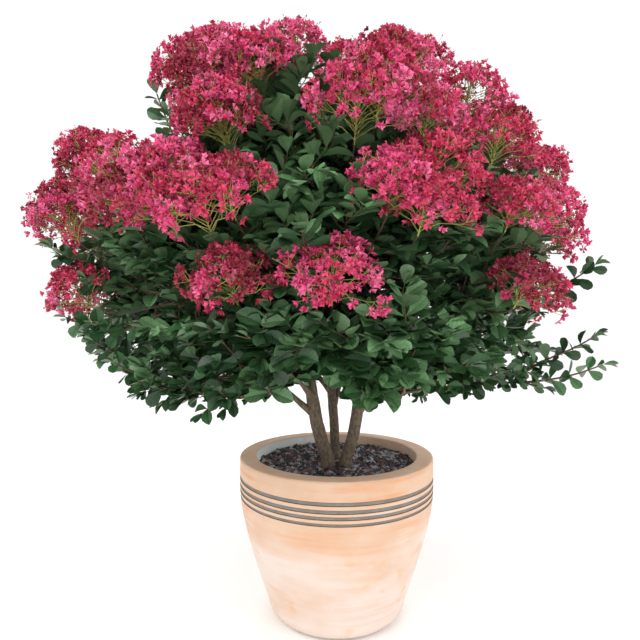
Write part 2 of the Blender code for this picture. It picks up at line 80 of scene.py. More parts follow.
def unit(azimuth: float, elevation: float) -> Vector:
    """Gives the direction at two angles.

    Args:
        azimuth: Degrees round Z, with 0 along +X and 90 along +Y.
        elevation: Degrees above the horizon.

    Returns:
        A vector one unit long.
    """
    turn, rise = math.radians(azimuth), math.radians(elevation)
    return Vector((math.cos(turn) * math.cos(rise), math.sin(turn) * math.cos(rise), math.sin(rise)))


def facing_turn(direction: Vector, facing: Vector) -> Quaternion:
    """Gives the rotation that lays X along a direction and leans Z towards another.

    Args:
        direction: Where X runs.
        facing: What Z leans towards.

    Returns:
        The rotation as a quaternion.
    """
    x = direction.normalized()
    z = facing - x * facing.dot(x)
    z = z.normalized() if z.length > 1e-6 else x.orthogonal().normalized()
    return Matrix((x, z.cross(x), z)).transposed().to_quaternion()


def smooth_path(points: Sequence[Vector], spans: int) -> list[Vector]:
    """Draws a smooth curve through the given points.

    Args:
        points: The points that the curve passes.
        spans: Straight steps between two of them.

    Returns:
        The points of the curve.
    """
    path = [points[0]]
    for k in range(len(points) - 1):
        before, a, b = points[max(k - 1, 0)], points[k], points[k + 1]
        after = points[min(k + 2, len(points) - 1)]
        path += interpolate_bezier(a, a + (b - before) / 6, b - (after - a) / 6, b, spans + 1)[1:]
    return path


def ring(radius: float, height: float, count: int) -> list[Triple]:
    """Gives the points of a level ring round Z."""
    angles = [math.tau * k / count for k in range(count)]
    return [(radius * math.cos(angle), radius * math.sin(angle), height) for angle in angles]


def new_mesh(name: str, vertices: Sequence, faces: Sequence, edges: Sequence = ()) -> Mesh:
    """Makes a mesh of points with faces or edges between them.

    Args:
        name: Its name.
        vertices: Its points.
        faces: Its faces.
        edges: Its edges, if it has no faces.

    Returns:
        The mesh.
    """
    mesh = bpy.data.meshes.new(name)
    mesh.from_pydata(vertices, edges, faces)
    return mesh


def random_lean(rng: Random) -> Vector:
    """Gives a vector of up to one unit in any direction."""
    return Vector((rng.uniform(-1, 1), rng.uniform(-1, 1), rng.uniform(-1, 1)))


class Route:
    """A path that can be asked for the point and the heading at a share of its length."""

    def __init__(self, points: Sequence[Vector]) -> None:
        """Measures the path.

        Args:
            points: The path's points, from its foot to its tip.
        """
        self.points = list(points)
        self.marks = [0.0]
        for a, b in zip(self.points, self.points[1:]):
            self.marks.append(self.marks[-1] + (b - a).length)
        self.length = self.marks[-1]

    def at(self, share: float) -> tuple[Vector, Vector]:
        """Finds a place on the path.

        Args:
            share: How far along, from 0 at the foot to 1 at the tip.

        Returns:
            The point and the unit heading there.
        """
        goal = share * self.length
        k = 1
        while k < len(self.marks) - 1 and self.marks[k] < goal:
            k += 1
        a, b = self.points[k - 1], self.points[k]
        step = self.marks[k] - self.marks[k - 1]
        part = (goal - self.marks[k - 1]) / step if step > 0 else 0.0
        return a.lerp(b, part), (b - a).normalized()


# ---- the growth plan


@dataclass
class Limb:
    """A tapering limb: its centre line and the radius at each point of it."""

    name: str
    points: list[Vector]
    radii: list[float]


class Habit(Enum):
    """What a shoot bears."""

    LEAFY = "side twigs with leaves"
    BLOOMING = "side twigs, and a flower head on its end"
    STRAYING = "side twigs on its lower half, then leaves alone, past the crown's outline"
    YOUNG = "side twigs with large fresh leaves"


@dataclass
class Shoot:
    """A shoot of a wedge: where it ends as seen from the heart, and what it bears."""

    direction: Vector
    distance: float
    habit: Habit = Habit.LEAFY


@dataclass
class Wedge:
    """One wedge of the crown: its middle direction, the foot of its twigs and the shoots that end in it."""

    tier: str
    number: int
    azimuth: float
    direction: Vector
    tip: Vector
    shoots: list[Shoot] = field(default_factory=list)

    @property
    def node(self) -> str:
        """The name of the solid that this wedge fills."""
        return f"{self.tier}_mass_{self.number}"


@dataclass
class GrowthPlan:
    """The rule that places limbs and shoots, with the sizes that the solids were built from."""

    heart: Vector = field(default_factory=lambda: Vector((-0.03, 0.0, 0.6)))
    crown_centre: Vector = field(default_factory=lambda: Vector((-0.04, 0.0, 0.75)))
    crown_radius: float = 0.6
    crown_rise: float = 0.54
    crown_drop: float = 0.25
    soil_top: float = 0.336
    stem_bases: tuple = (("left", -0.0205, -0.033), ("right", 0.0215, -0.033), ("back", -0.001, 0.034))
    stem_forks: tuple = ((-0.047, -0.042, 0.446), (0.045, -0.044, 0.452), (-0.006, 0.046, 0.45))
    stem_radii: tuple = (0.015, 0.0132, 0.0112)
    leader_tip_radius: float = 0.005
    root_flare: float = 1.22
    flare_height: float = 0.016
    leader_bend: float = 0.45
    leader_rise: float = 0.012
    straight_end: float = 0.014
    bough_base_radius: float = 0.0072
    bough_tip_radius: float = 0.0044
    thinner_than_stem: float = 0.7
    bough_climb: float = 0.35
    bough_arch: float = 0.36
    first_bough_height: float = 0.452
    last_bough_height: float = 0.735
    # Tier: count, azimuth of the first, elevation, distance of the bough's tip from the heart
    tiers: tuple = (
        ("skirt", 8, 203, -10, 0.25), ("waist", 8, 225, 17, 0.28),
        ("shoulder", 7, 219, 40, 0.3), ("top", 3, 222, 67, 0.3),
    )
    # Row of flower heads: elevation, azimuths on the front, step round the rest
    head_rows: tuple = (
        (10, (211, 256, 271, 307), 34),
        (22, (210, 236, 256, 303, 314, 330), 31),
        (34, (207, 252, 275, 287, 305, 324), 34),
        (45, (241, 256, 284, 306, 322), 40),
        (59, (234, 259, 293, 304), 44),
        (77, (), 90),
    )
    front_start: float = 200
    front_end: float = 338
    head_jitter: float = 2.0
    head_height: float = 0.125
    head_stand: float = 0.035
    leafy_lattice: int = 84
    lowest_shoot: float = -25
    clear_of_head: float = 10.5
    # Azimuth and elevation where the front heads stand closest and the spiral leaves its leafy shoots out
    leafless: tuple = ((225, 30), (213, 46))
    leafy_reach: Pair = (0.8, 0.9)
    broad_leaf: float = 0.104  # length of a solid's leaf, which the fine twigs past a shoot's end fill
    stray_leaf: float = 0.8
    # Leafy shoots of the front, between the heads: azimuth, elevation, distance of the tip from the heart
    front_shoots: tuple = (
        (264, 45, 0.65), (264, 35, 0.63), (268, 27, 0.62), (273, 21, 0.61), (267, 17, 0.605),
        (262, 24, 0.6), (273, 4, 0.55), (282, 5, 0.56), (280, -2, 0.47), (266, 3, 0.54),
        (259, 4, 0.545), (289, 3, 0.53), (251, 3, 0.53), (256, -8, 0.455), (248, -9, 0.47),
        (240, -8, 0.48), (231, -8, 0.485), (286, -7, 0.44), (294, -7, 0.44), (302, -5, 0.45),
        (310, -5, 0.46),
    )
    fine_lattice: int = 170
    fine_reach: Pair = (0.64, 0.84)
    lowest_fine_shoot: float = -32
    # Flower heads between the named ones, front and back: azimuth, elevation, distance of the stalk's foot
    filling_heads: tuple = (
        (246, 25, 0.565), (253, 34, 0.564), (254, 18, 0.573), (248, 19, 0.575), (238, 24, 0.575),
        (247, 41, 0.602), (253, 43, 0.591), (279, 22, 0.56), (279, 37, 0.587), (287, 26, 0.551),
        (207, 25, 0.555), (234, 27, 0.53), (284, 19.5, 0.55), (222, 40, 0.54), (203, 36, 0.628),
        (8, 29, 0.57), (27, 26, 0.57), (48, 33, 0.56), (66, 20, 0.57), (84, 36, 0.58), (101, 24, 0.57),
        (122, 31, 0.57), (140, 18, 0.57), (160, 34, 0.57), (182, 26, 0.57), (30, 46, 0.58), (75, 52, 0.6),
        (118, 48, 0.6), (168, 50, 0.6), (12, 58, 0.6), (13, 14, 0.56),
    )
    # Long shoots that leave the outline: azimuth, elevation, distance of the tip from the heart
    stray_shoots: tuple = (
        (328, 1, 0.595), (333, -4, 0.604), (333, 15, 0.615), (224, 47, 0.655),
        (212, 17, 0.625), (212, 6, 0.575), (211, 0, 0.53), (213, -7, 0.485),
        (330, -6, 0.495), (317, -7, 0.465), (229, -8, 0.49), (220, -4, 0.515),
    )
    # Young sprays of large leaves at the front, beside the stems: azimuth, elevation, distance of the tip
    young_shoots: tuple = (
        (280, -9, 0.45), (284, -4, 0.48), (277, -3, 0.49), (287, 1, 0.52), (275, 3, 0.54),
    )
    # The crown seen from the front: angle from the heart, share of the egg's reach, from right to left
    side_shares: tuple = (
        (-20, 1.04), (-10, 0.93), (0, 0.86), (6, 0.86), (12, 0.86), (20, 0.83),
        (27, 0.91), (35, 0.975), (50, 0.945), (62, 0.975), (72, 0.99), (90, 0.99),
        (97, 0.975), (105, 1.005), (112, 1.04), (120, 1.005), (127, 0.86), (134, 0.83),
        (141, 0.97), (150, 1.05), (158, 0.985), (167, 0.95), (180, 1.04), (200, 1.13),
    )
    side_fade: float = 1.6
    # The crown's underside over the stems: middle, half its width, height, rise outwards, drop beside
    opening: tuple[float, float, float, float, float] = (-0.045, 0.06, 0.512, 0.143, 2.0)
    stem_length: float = 0.1
    shoot_starts: Pair = (0.45, 0.95)
    shoot_leave: float = 0.3
    shoot_arrive: float = 0.25
    shoot_lift: float = 0.1
    leader_spans: int = 14
    bough_steps: int = 22
    shoot_steps: int = 10

    def reach(self, direction: Vector) -> float:
        """Measures the crown along a direction.

        Args:
            direction: A unit vector from the heart.

        Returns:
            The distance from the heart to the crown's surface.
        """
        offset = self.heart - self.crown_centre
        for semi_axis, above in ((self.crown_rise, True), (self.crown_drop, False)):
            stretch = self.crown_radius / semi_axis
            start = Vector((offset.x, offset.y, offset.z * stretch))
            step = Vector((direction.x, direction.y, direction.z * stretch))
            a, b, c = step.dot(step), start.dot(step), start.dot(start) - self.crown_radius**2
            distance = (-b + math.sqrt(b * b - a * c)) / a
            if (offset.z + distance * direction.z > 0) == above:
                break
        return distance

    def underside(self, spot: Vector) -> float:
        """Gives the height that leaves keep above a spot, so that the stems stay in view."""
        middle, half, height, rise, drop = self.opening
        return height + rise * abs(spot.y) - drop * max(0.0, abs(spot.x - middle) - half)

    def side_share(self, direction: Vector) -> float:
        """Gives the share of the egg's reach that the crown keeps towards its sides.

        Args:
            direction: A unit vector from the heart.

        Returns:
            The share, which fades to 1 towards the front and the back.
        """
        angle = math.degrees(math.atan2(direction.z, direction.x))
        right, left = self.side_shares[0][0], self.side_shares[-1][0]
        angle = max(right, min(left, angle + 360 if angle < -90 else angle))
        k = next(k for k, (high, _) in enumerate(self.side_shares[1:]) if angle <= high)
        (low, first), (high, second) = self.side_shares[k:k + 2]
        share = first + (second - first) * (angle - low) / (high - low)
        return 1 + (share - 1) * max(0.0, 1 - direction.y * direction.y * self.side_fade)

    def head_directions(self, rng: Random) -> list[Vector]:
        """Places the flower heads: the front ones by name, the others at even steps round each row.

        Args:
            rng: The source of their unevenness.

        Returns:
            Their directions from the heart.
        """
        heads = []
        for elevation, front, step in self.head_rows:
            span = 360 - (self.front_end - self.front_start) if front else 360
            count = round(span / step)
            rest = [self.front_end + span * (k + 0.5) / count for k in range(count)]
            for azimuth in (*front, *rest):
                jitter = 0 if azimuth in front else self.head_jitter
                turned = azimuth + rng.uniform(-jitter, jitter)
                heads.append(unit(turned, elevation + rng.uniform(-jitter, jitter)))
        return heads

    def spiral(self, count: int, lowest: float) -> Iterable[Vector]:
        """Yields directions on an even spiral from an elevation up to the zenith.

        Args:
            count: How many there are.
            lowest: The elevation that they start from.

        Returns:
            The directions.
        """
        floor = math.sin(math.radians(lowest))
        for k in range(count):
            rise = floor + (1 - floor) * (k + 0.5) / count
            flat = math.sqrt(1 - rise * rise)
            yield Vector((flat * math.cos(k * GOLDEN_TURN), flat * math.sin(k * GOLDEN_TURN), rise))

    def wedges(self) -> list[Wedge]:
        """Builds the wedges with their shoots.

        Returns:
            The wedges, tier by tier, each holding the shoots that end nearest its middle.
        """
        wedges = []
        for tier, count, first, elevation, distance in self.tiers:
            for k in range(count):
                azimuth = (first + 360 * k / count) % 360
                direction = unit(azimuth, elevation)
                wedges.append(Wedge(tier, k + 1, azimuth, direction, self.heart + direction * distance))
        rng = Random(SEED)
        heads = self.head_directions(rng)
        stand = self.head_stand - self.head_height
        shoots = [Shoot(head, self.reach(head) + stand, Habit.BLOOMING) for head in heads]
        clear = math.cos(math.radians(self.clear_of_head))
        taken = [*heads, *(unit(*place) for place in self.leafless)]
        for direction in self.spiral(self.leafy_lattice, self.lowest_shoot):
            if all(direction.dot(place) < clear for place in taken):
                distance = self.reach(direction) * rng.uniform(*self.leafy_reach)
                shoots.append(Shoot(direction, distance))
        for direction in self.spiral(self.fine_lattice, self.lowest_fine_shoot):
            distance = self.reach(direction) * rng.uniform(*self.fine_reach) - self.broad_leaf / 2
            shoots.append(Shoot(direction, distance))
        for azimuth, elevation, distance in self.filling_heads:
            shoots.append(Shoot(unit(azimuth, elevation), distance, Habit.BLOOMING))
        for shoot in shoots:
            length = self.head_height if shoot.habit is Habit.BLOOMING else 0.0
            shoot.distance = (shoot.distance + length) * self.side_share(shoot.direction) - length
        groups = {
            Habit.LEAFY: self.front_shoots, Habit.YOUNG: self.young_shoots, Habit.STRAYING: self.stray_shoots,
        }
        for habit, group in groups.items():
            for azimuth, elevation, distance in group:
                foot = distance - self.broad_leaf * self.stray_leaf
                shoots.append(Shoot(unit(azimuth, elevation), foot, habit))
        for shoot in shoots:
            end = self.heart + shoot.direction * (shoot.distance + self.broad_leaf)
            if shoot.habit is Habit.LEAFY and end.z < self.underside(end):
                continue
            nearest = max(wedges, key=lambda wedge: wedge.direction.dot(shoot.direction))
            nearest.shoots.append(shoot)
        return wedges

    def leader(self, k: int, top: Wedge) -> Limb:
        """Draws a stem from the soil through its fork to its top wedge.

        Args:
            k: Which of the three stems.
            top: The wedge that it carries.

        Returns:
            The stem as a limb.
        """
        name, x, y = self.stem_bases[k]
        base, fork = Vector((x, y, self.soil_top)), Vector(self.stem_forks[k])
        flared = base + UP * self.flare_height
        bend = fork.lerp(top.tip, self.leader_bend) + UP * self.leader_rise
        last = top.tip - top.direction * self.straight_end
        path = [base, *smooth_path([flared, fork, bend, last], self.leader_spans), top.tip]
        radii = []
        for point in path:
            share = max(0.0, (point.z - fork.z) / (top.tip.z - fork.z))
            radii.append(self.stem_radii[k] * (1 - share) + self.leader_tip_radius * share)
        radii[0] *= self.root_flare
        return Limb(f"{name}_stem", path, radii)

    def bough(self, leader: Limb, wedge: Wedge, height: float) -> Limb:
        """Draws a bough that leaves its leader at a height and arches out to its wedge.

        Args:
            leader: The stem that it leaves.
            wedge: The wedge that it carries.
            height: Where on the stem it starts.

        Returns:
            The bough as a limb.
        """
        k = next(k for k, (a, b) in enumerate(zip(leader.points, leader.points[1:])) if a.z <= height <= b.z)
        a, b = leader.points[k], leader.points[k + 1]
        start, climb = a.lerp(b, (height - a.z) / (b.z - a.z)), (b - a).normalized()
        outward = (wedge.tip - start).normalized()
        leave = (climb * self.bough_climb + outward).normalized()
        handle = (wedge.tip - start).length * self.bough_arch
        last = wedge.tip - wedge.direction * self.straight_end
        bend = (start, start + leave * handle, last - wedge.direction * handle, last)
        points = [*interpolate_bezier(*bend, self.bough_steps), wedge.tip]
        base_radius = min(self.bough_base_radius, leader.radii[k] * self.thinner_than_stem)
        taper = (self.bough_tip_radius - base_radius) / self.bough_steps
        return Limb(wedge.node.replace("mass", "bough"), points, [
            base_radius + taper * step for step in range(self.bough_steps + 1)
        ])

    def limbs(self, wedges: Sequence[Wedge]) -> tuple[list[Limb], list[Limb]]:
        """Draws every limb.

        Args:
            wedges: The wedges of the crown.

        Returns:
            The three leaders, and the boughs that leave them.
        """
        tops = [wedge for wedge in wedges if wedge.tier == "top"]
        leaders, boughs = [], []
        for k, top in enumerate(tops):
            leader = self.leader(k, top)
            leaders.append(leader)
            served = [
                wedge for wedge in wedges
                if wedge.tier != "top"
                and max(tops, key=lambda t: unit(t.azimuth, 0).dot(unit(wedge.azimuth, 0))) is top
            ]
            served.sort(key=lambda wedge: (wedge.direction.z, wedge.azimuth))
            rise = (self.last_bough_height - self.first_bough_height) / (len(served) - 1)
            for step, wedge in enumerate(served):
                boughs.append(self.bough(leader, wedge, self.first_bough_height + step * rise))
        return leaders, boughs

    def shoot_path(self, wedge: Wedge, shoot: Shoot, rng: Random) -> list[Vector]:
        """Draws the arching line of a shoot from its wedge's stem to its end.

        Args:
            wedge: The wedge that bears it.
            shoot: The shoot.
            rng: The source of its starting place.

        Returns:
            The points of the shoot.
        """
        start = wedge.tip + wedge.direction * self.stem_length * rng.uniform(*self.shoot_starts)
        end = self.heart + shoot.direction * shoot.distance
        length = (end - start).length
        leave = start + wedge.direction * length * self.shoot_leave
        arrive = end - shoot.direction * length * self.shoot_arrive - UP * length * self.shoot_lift
        return interpolate_bezier(start, leave, arrive, end, self.shoot_steps + 1)


# ---- what the growth fills in


@dataclass
class Strands:
    """Stalks and twigs of one kind: polylines with a thickness at every point."""

    points: list[tuple] = field(default_factory=list)
    thickness: list[float] = field(default_factory=list)
    edges: list[tuple[int, int]] = field(default_factory=list)

    def lay(self, path: Sequence[Vector], radii: Sequence[float]) -> None:
        """Adds one strand with its radius at each of its points.

        Args:
            path: Its points.
            radii: Its radii.
        """
        first = len(self.points)
        self.points += [tuple(point) for point in path]
        self.thickness += radii
        self.edges += [(first + k, first + k + 1) for k in range(len(path) - 1)]

    def add(self, path: Sequence[Vector], foot: float, tip: float) -> None:
        """Adds one strand that tapers evenly.

        Args:
            path: Its points.
            foot: Its radius at the first point.
            tip: Its radius at the last point.
        """
        last = len(path) - 1
        self.lay(path, [foot + (tip - foot) * k / last for k in range(last + 1)])

    def mesh(self, name: str) -> Mesh:
        """Makes the wire mesh that the tube nodes read.

        Args:
            name: Its name.

        Returns:
            The mesh.
        """
        mesh = new_mesh(name, self.points, [], self.edges)
        mesh.attributes.new("thickness", "FLOAT", "POINT").data.foreach_set("value", self.thickness)
        return mesh


@dataclass
class Places:
    """Spots that take a repeated shape: where, how it is turned, how large, and which form."""

    spots: list[tuple] = field(default_factory=list)
    turns: list[tuple] = field(default_factory=list)
    sizes: list[float] = field(default_factory=list)
    forms: list[int] = field(default_factory=list)

    def add(self, spot: Vector, turn: Quaternion, size: float, form: int) -> None:
        """Adds one spot.

        Args:
            spot: Where the shape's root goes.
            turn: How the shape is turned.
            size: What one unit of the shape becomes.
            form: Which of the forms it takes.
        """
        self.spots.append(tuple(spot))
        self.turns.append(tuple(turn))
        self.sizes.append(size)
        self.forms.append(form)

    def mesh(self, name: str) -> Mesh:
        """Makes the mesh of loose points that the scattering nodes read.

        Args:
            name: Its name.

        Returns:
            The mesh.
        """
        mesh = new_mesh(name, self.spots, [])
        turns = np.array(self.turns, np.float32).ravel()
        marks = (("turn", "QUATERNION", turns), ("size", "FLOAT", self.sizes), ("form", "INT", self.forms))
        for label, kind, values in marks:
            mesh.attributes.new(label, kind, "POINT").data.foreach_set("value", values)
        return mesh


# ---- node trees


@dataclass
class Sheet:
    """A node tree being drawn up."""

    tree: Tree

    def node(self, kind: str, inputs: dict | None = None, **settings: object) -> bpy.types.Node:
        """Places a node.

        Args:
            kind: Its type.
            inputs: Values and sockets for its inputs, by name or number.
            **settings: Its own properties.

        Returns:
            The node.
        """
        made = self.tree.nodes.new(kind)
        for name, value in settings.items():
            setattr(made, name, value)
        for key, value in (inputs or {}).items():
            if isinstance(value, Socket):
                self.tree.links.new(value, made.inputs[key])
            else:
                made.inputs[key].default_value = value
        return made

    def math(self, operation: str, a: object, b: object = 0.0) -> Socket:
        """Joins two values by arithmetic and gives the result."""
        return self.node("ShaderNodeMath", {0: a, 1: b}, operation=operation).outputs[0]

    def stretch(self, place: Socket, scale: Sequence[float]) -> Socket:
        """Stretches coordinates by a factor for each axis."""
        settings = {0: place, 1: tuple(scale)}
        return self.node("ShaderNodeVectorMath", settings, operation="MULTIPLY").outputs[0]

    def noise(self, place: Socket, scale: object, detail: float = 3.0) -> Socket:
        """Gives a noise value, from 0 to 1, at a place."""
        return self.node("ShaderNodeTexNoise", {"Vector": place, "Scale": scale, "Detail": detail}).outputs[0]

    def ramp(self, value: Socket, low: object, high: object) -> Socket:
        """Turns a value into a mask that rises from 0 to 1 between two levels."""
        settings = {"Value": value, "From Min": low, "From Max": high}
        return self.node("ShaderNodeMapRange", settings, interpolation_type="SMOOTHSTEP").outputs[0]

    def patches(self, place: Socket, squeeze: Sequence[float], detail: float, levels: Pair) -> Socket:
        """Gives a mask of patches: noise in stretched coordinates, cut between two levels."""
        return self.ramp(self.noise(self.stretch(place, squeeze), 1.0, detail), *levels)

    def attribute(self, name: str, data_type: str) -> Socket:
        """Reads an attribute of the geometry by its name."""
        return self.node("GeometryNodeInputNamedAttribute", {"Name": name}, data_type=data_type).outputs[0]

    def mix(self, share: object, a: object, b: object) -> Socket:
        """Mixes two colours, each a socket or a plain colour, by the share of the second."""
        a, b = ((*colour, 1.0) if isinstance(colour, tuple) else colour for colour in (a, b))
        return self.node("ShaderNodeMix", {0: share, 6: a, 7: b}, data_type="RGBA").outputs[2]


def new_group(name: str, kind: str, inputs: dict, outputs: dict) -> tuple[Sheet, dict, bpy.types.Node]:
    """Starts a node group with named sockets.

    Args:
        name: The group's name.
        kind: "ShaderNodeTree" or "GeometryNodeTree".
        inputs: Socket name to (socket type, default or None).
        outputs: Socket name to socket type.

    Returns:
        The sheet of the group, its inputs by name, and its output node.
    """
    tree = bpy.data.node_groups.new(name, kind)
    for label, (socket_type, default) in inputs.items():
        socket = tree.interface.new_socket(name=label, in_out="INPUT", socket_type=f"NodeSocket{socket_type}")
        if default is not None:
            socket.default_value = default
    for label, socket_type in outputs.items():
        tree.interface.new_socket(name=label, in_out="OUTPUT", socket_type=f"NodeSocket{socket_type}")
    sheet = Sheet(tree)
    given = sheet.node("NodeGroupInput")
    return sheet, {label: given.outputs[label] for label in inputs}, sheet.node("NodeGroupOutput")


def new_material(name: str) -> tuple[bpy.types.Material, Sheet, bpy.types.Node]:
    """Starts a material.

    Args:
        name: Its name.

    Returns:
        The material, its sheet and its shader.
    """
    material = bpy.data.materials.new(name)
    material.use_nodes = True
    return material, Sheet(material.node_tree), material.node_tree.nodes["Principled BSDF"]


@dataclass
class ShaderEffects:
    """The effects that several finishes share, each a node group built once."""

    patch_levels: Pair = (0.35, 0.65)
    speck_levels: Pair = (0.4, 0.7)
    specks_finer: float = 4.7
    patch_share: float = 0.65
    pits_finer: float = 3.1
    swell_share: float = 0.7

    def __post_init__(self) -> None:
        """Builds the groups."""
        self.mottle = self._mottle()
        self.relief = self._relief()

    @staticmethod
    def _sum(sheet: Sheet, coarse: Socket, fine: Socket, share: float) -> Socket:
        """Adds a coarse value and a fine one, of which the coarse one takes a share."""
        fine = sheet.math("MULTIPLY", fine, 1 - share)
        return sheet.math("ADD", sheet.math("MULTIPLY", coarse, share), fine)

    def _mottle(self) -> Tree:
        """Builds the uneven colouring: patches of a second colour with finer specks of it on top.

        Returns:
            The node group.
        """
        grey = ("Color", (0.5, 0.5, 0.5, 1.0))
        inputs = {
            "Place": ("Vector", None), "Base": grey, "Second": grey,
            "Grain": ("Float", 30.0), "Amount": ("Float", 0.6),
        }
        sheet, given, made = new_group("Mottle", "ShaderNodeTree", inputs, {"Colour": "Color"})
        place, grain = given["Place"], given["Grain"]
        patches = sheet.ramp(sheet.noise(place, grain, 2.0), *self.patch_levels)
        finer = sheet.math("MULTIPLY", grain, self.specks_finer)
        specks = sheet.ramp(sheet.noise(place, finer, 4.0), *self.speck_levels)
        both = self._sum(sheet, patches, specks, self.patch_share)
        mask = sheet.math("MULTIPLY", both, given["Amount"])
        sheet.tree.links.new(sheet.mix(mask, given["Base"], given["Second"]), made.inputs["Colour"])
        return sheet.tree

    def _relief(self) -> Tree:
        """Builds the fine unevenness of a surface as a height.

        Returns:
            The node group.
        """
        inputs = {"Place": ("Vector", None), "Grain": ("Float", 60.0)}
        sheet, given, made = new_group("Relief", "ShaderNodeTree", inputs, {"Height": "Float"})
        place, grain = given["Place"], given["Grain"]
        finer = sheet.math("MULTIPLY", grain, self.pits_finer)
        swells, pits = sheet.noise(place, grain, 4.0), sheet.noise(place, finer, 3.0)
        height = self._sum(sheet, swells, pits, self.swell_share)
        sheet.tree.links.new(height, made.inputs["Height"])
        return sheet.tree


# ---- finishes


@dataclass
class Surface:
    """What a finish is drawn on: the material's sheet, coordinates on the piece and the shared effects."""

    sheet: Sheet
    place: Socket
    effects: ShaderEffects


@dataclass(frozen=True)
class Finish:
    """A surface with uneven colour and a fine relief."""

    name: str
    base: Colour
    second: Colour
    roughness: float
    grain: float = 30.0
    amount: float = 0.6
    bump: float = 0.2
    bump_grain: float = 80.0
    bump_depth: float = 0.002
    specular: float = 0.5
    squeeze: Triple = (1.0, 1.0, 1.0)

    def make(self, effects: ShaderEffects) -> bpy.types.Material:
        """Builds the material.

        Args:
            effects: The shared node groups.

        Returns:
            The material.
        """
        material, sheet, shader = new_material(self.name)
        place = sheet.stretch(sheet.node("ShaderNodeTexCoord").outputs["Object"], self.squeeze)
        colour = self.colour(Surface(sheet, place, effects))
        sheet.tree.links.new(colour, shader.inputs["Base Color"])
        shader.inputs["Roughness"].default_value = self.roughness
        shader.inputs["Specular IOR Level"].default_value = self.specular
        given = {"Place": place, "Grain": self.bump_grain}
        height = sheet.node("ShaderNodeGroup", given, node_tree=effects.relief).outputs["Height"]
        given = {"Strength": self.bump, "Distance": self.bump_depth, "Height": height}
        sheet.tree.links.new(sheet.node("ShaderNodeBump", given).outputs["Normal"], shader.inputs["Normal"])
        return material

    def colour(self, on: Surface) -> Socket:
        """Draws the colour and gives its socket."""
        return self.mottled(on, self.base, self.second)

    def mottled(self, on: Surface, base: Colour, second: Colour) -> Socket:
        """Places the shared mottle with this finish's grain and amount.

        Args:
            on: What the finish is drawn on.
            base: The main colour.
            second: The colour of the patches.

        Returns:
            The socket that carries the colour.
        """
        given = {
            "Place": on.place, "Base": (*base, 1.0), "Second": (*second, 1.0),
            "Grain": self.grain, "Amount": self.amount,
        }
        return on.sheet.node("ShaderNodeGroup", given, node_tree=on.effects.mottle).outputs["Colour"]


@dataclass(frozen=True)
class LeafFinish(Finish):
    """A glossy upper side with side veins and a dark midrib line, which is painted shade of the leaf's
    crease, and a paler, duller underside.
    """

    roughness: float = 0.36
    grain: float = 22.0
    amount: float = 0.9
    bump_grain: float = 160.0
    specular: float = 0.45
    under: Colour = (0.11, 0.2, 0.09)
    under_shade: float = 0.7
    # Colour of the side veins and of the midrib line; on the midrib it is painted shade of the crease
    vein_and_midrib_shade: Colour = (0.012, 0.036, 0.014)
    vein_count: float = 6.5
    vein_slant: float = 5.0
    vein_levels: Pair = (0.16, 0.02)
    vein_share: float = 0.42
    midrib_shade_levels: Pair = (0.03, 0.008)
    midrib_shade_share: float = 0.6

    def colour(self, on: Surface) -> Socket:
        """Draws the veined upper side with its painted crease shade, and the underside's colour where a leaf
        is seen from below.

        Args:
            on: What the finish is drawn on.

        Returns:
            The socket that carries the colour.
        """
        sheet, upper = on.sheet, self.mottled(on, self.base, self.second)
        flat = sheet.node("ShaderNodeUVMap", uv_map=LEAF_PLAN).outputs[0]
        along, across, _ = sheet.node("ShaderNodeSeparateXYZ", {0: flat}).outputs
        aside = sheet.math("ABSOLUTE", sheet.math("SUBTRACT", across, 0.5), 0.0)
        run = sheet.math("MULTIPLY", along, self.vein_count)
        slant = sheet.math("SUBTRACT", run, sheet.math("MULTIPLY", aside, self.vein_slant))
        veins = sheet.ramp(sheet.math("PINGPONG", slant, 0.5), *self.vein_levels)
        upper = sheet.mix(sheet.math("MULTIPLY", veins, self.vein_share), upper, self.vein_and_midrib_shade)
        # Painted shade: a dark line down the midrib, where the folded leaf's crease is shaded
        midrib = sheet.ramp(aside, *self.midrib_shade_levels)
        upper = sheet.mix(sheet.math("MULTIPLY", midrib, self.midrib_shade_share), upper, self.vein_and_midrib_shade)
        shaded = tuple(c * self.under_shade for c in self.under)
        below = self.mottled(on, self.under, shaded)
        return sheet.mix(sheet.node("ShaderNodeNewGeometry").outputs["Backfacing"], upper, below)


@dataclass(frozen=True)
class PetalFinish(Finish):
    """A crinkled petal, finely mottled with a darker colour: partly the petals' own deeper tone, partly
    painted shade in their folds and between them.
    """

    roughness: float = 0.55
    grain: float = 240.0
    amount: float = 1.0
    bump: float = 0.15
    bump_grain: float = 300.0


@dataclass(frozen=True)
class ChipFinish(Finish):
    """A chip of bark with a coarse, dull face."""

    roughness: float = 0.8
    grain: float = 90.0
    amount: float = 0.8
    bump: float = 0.4
    bump_grain: float = 260.0


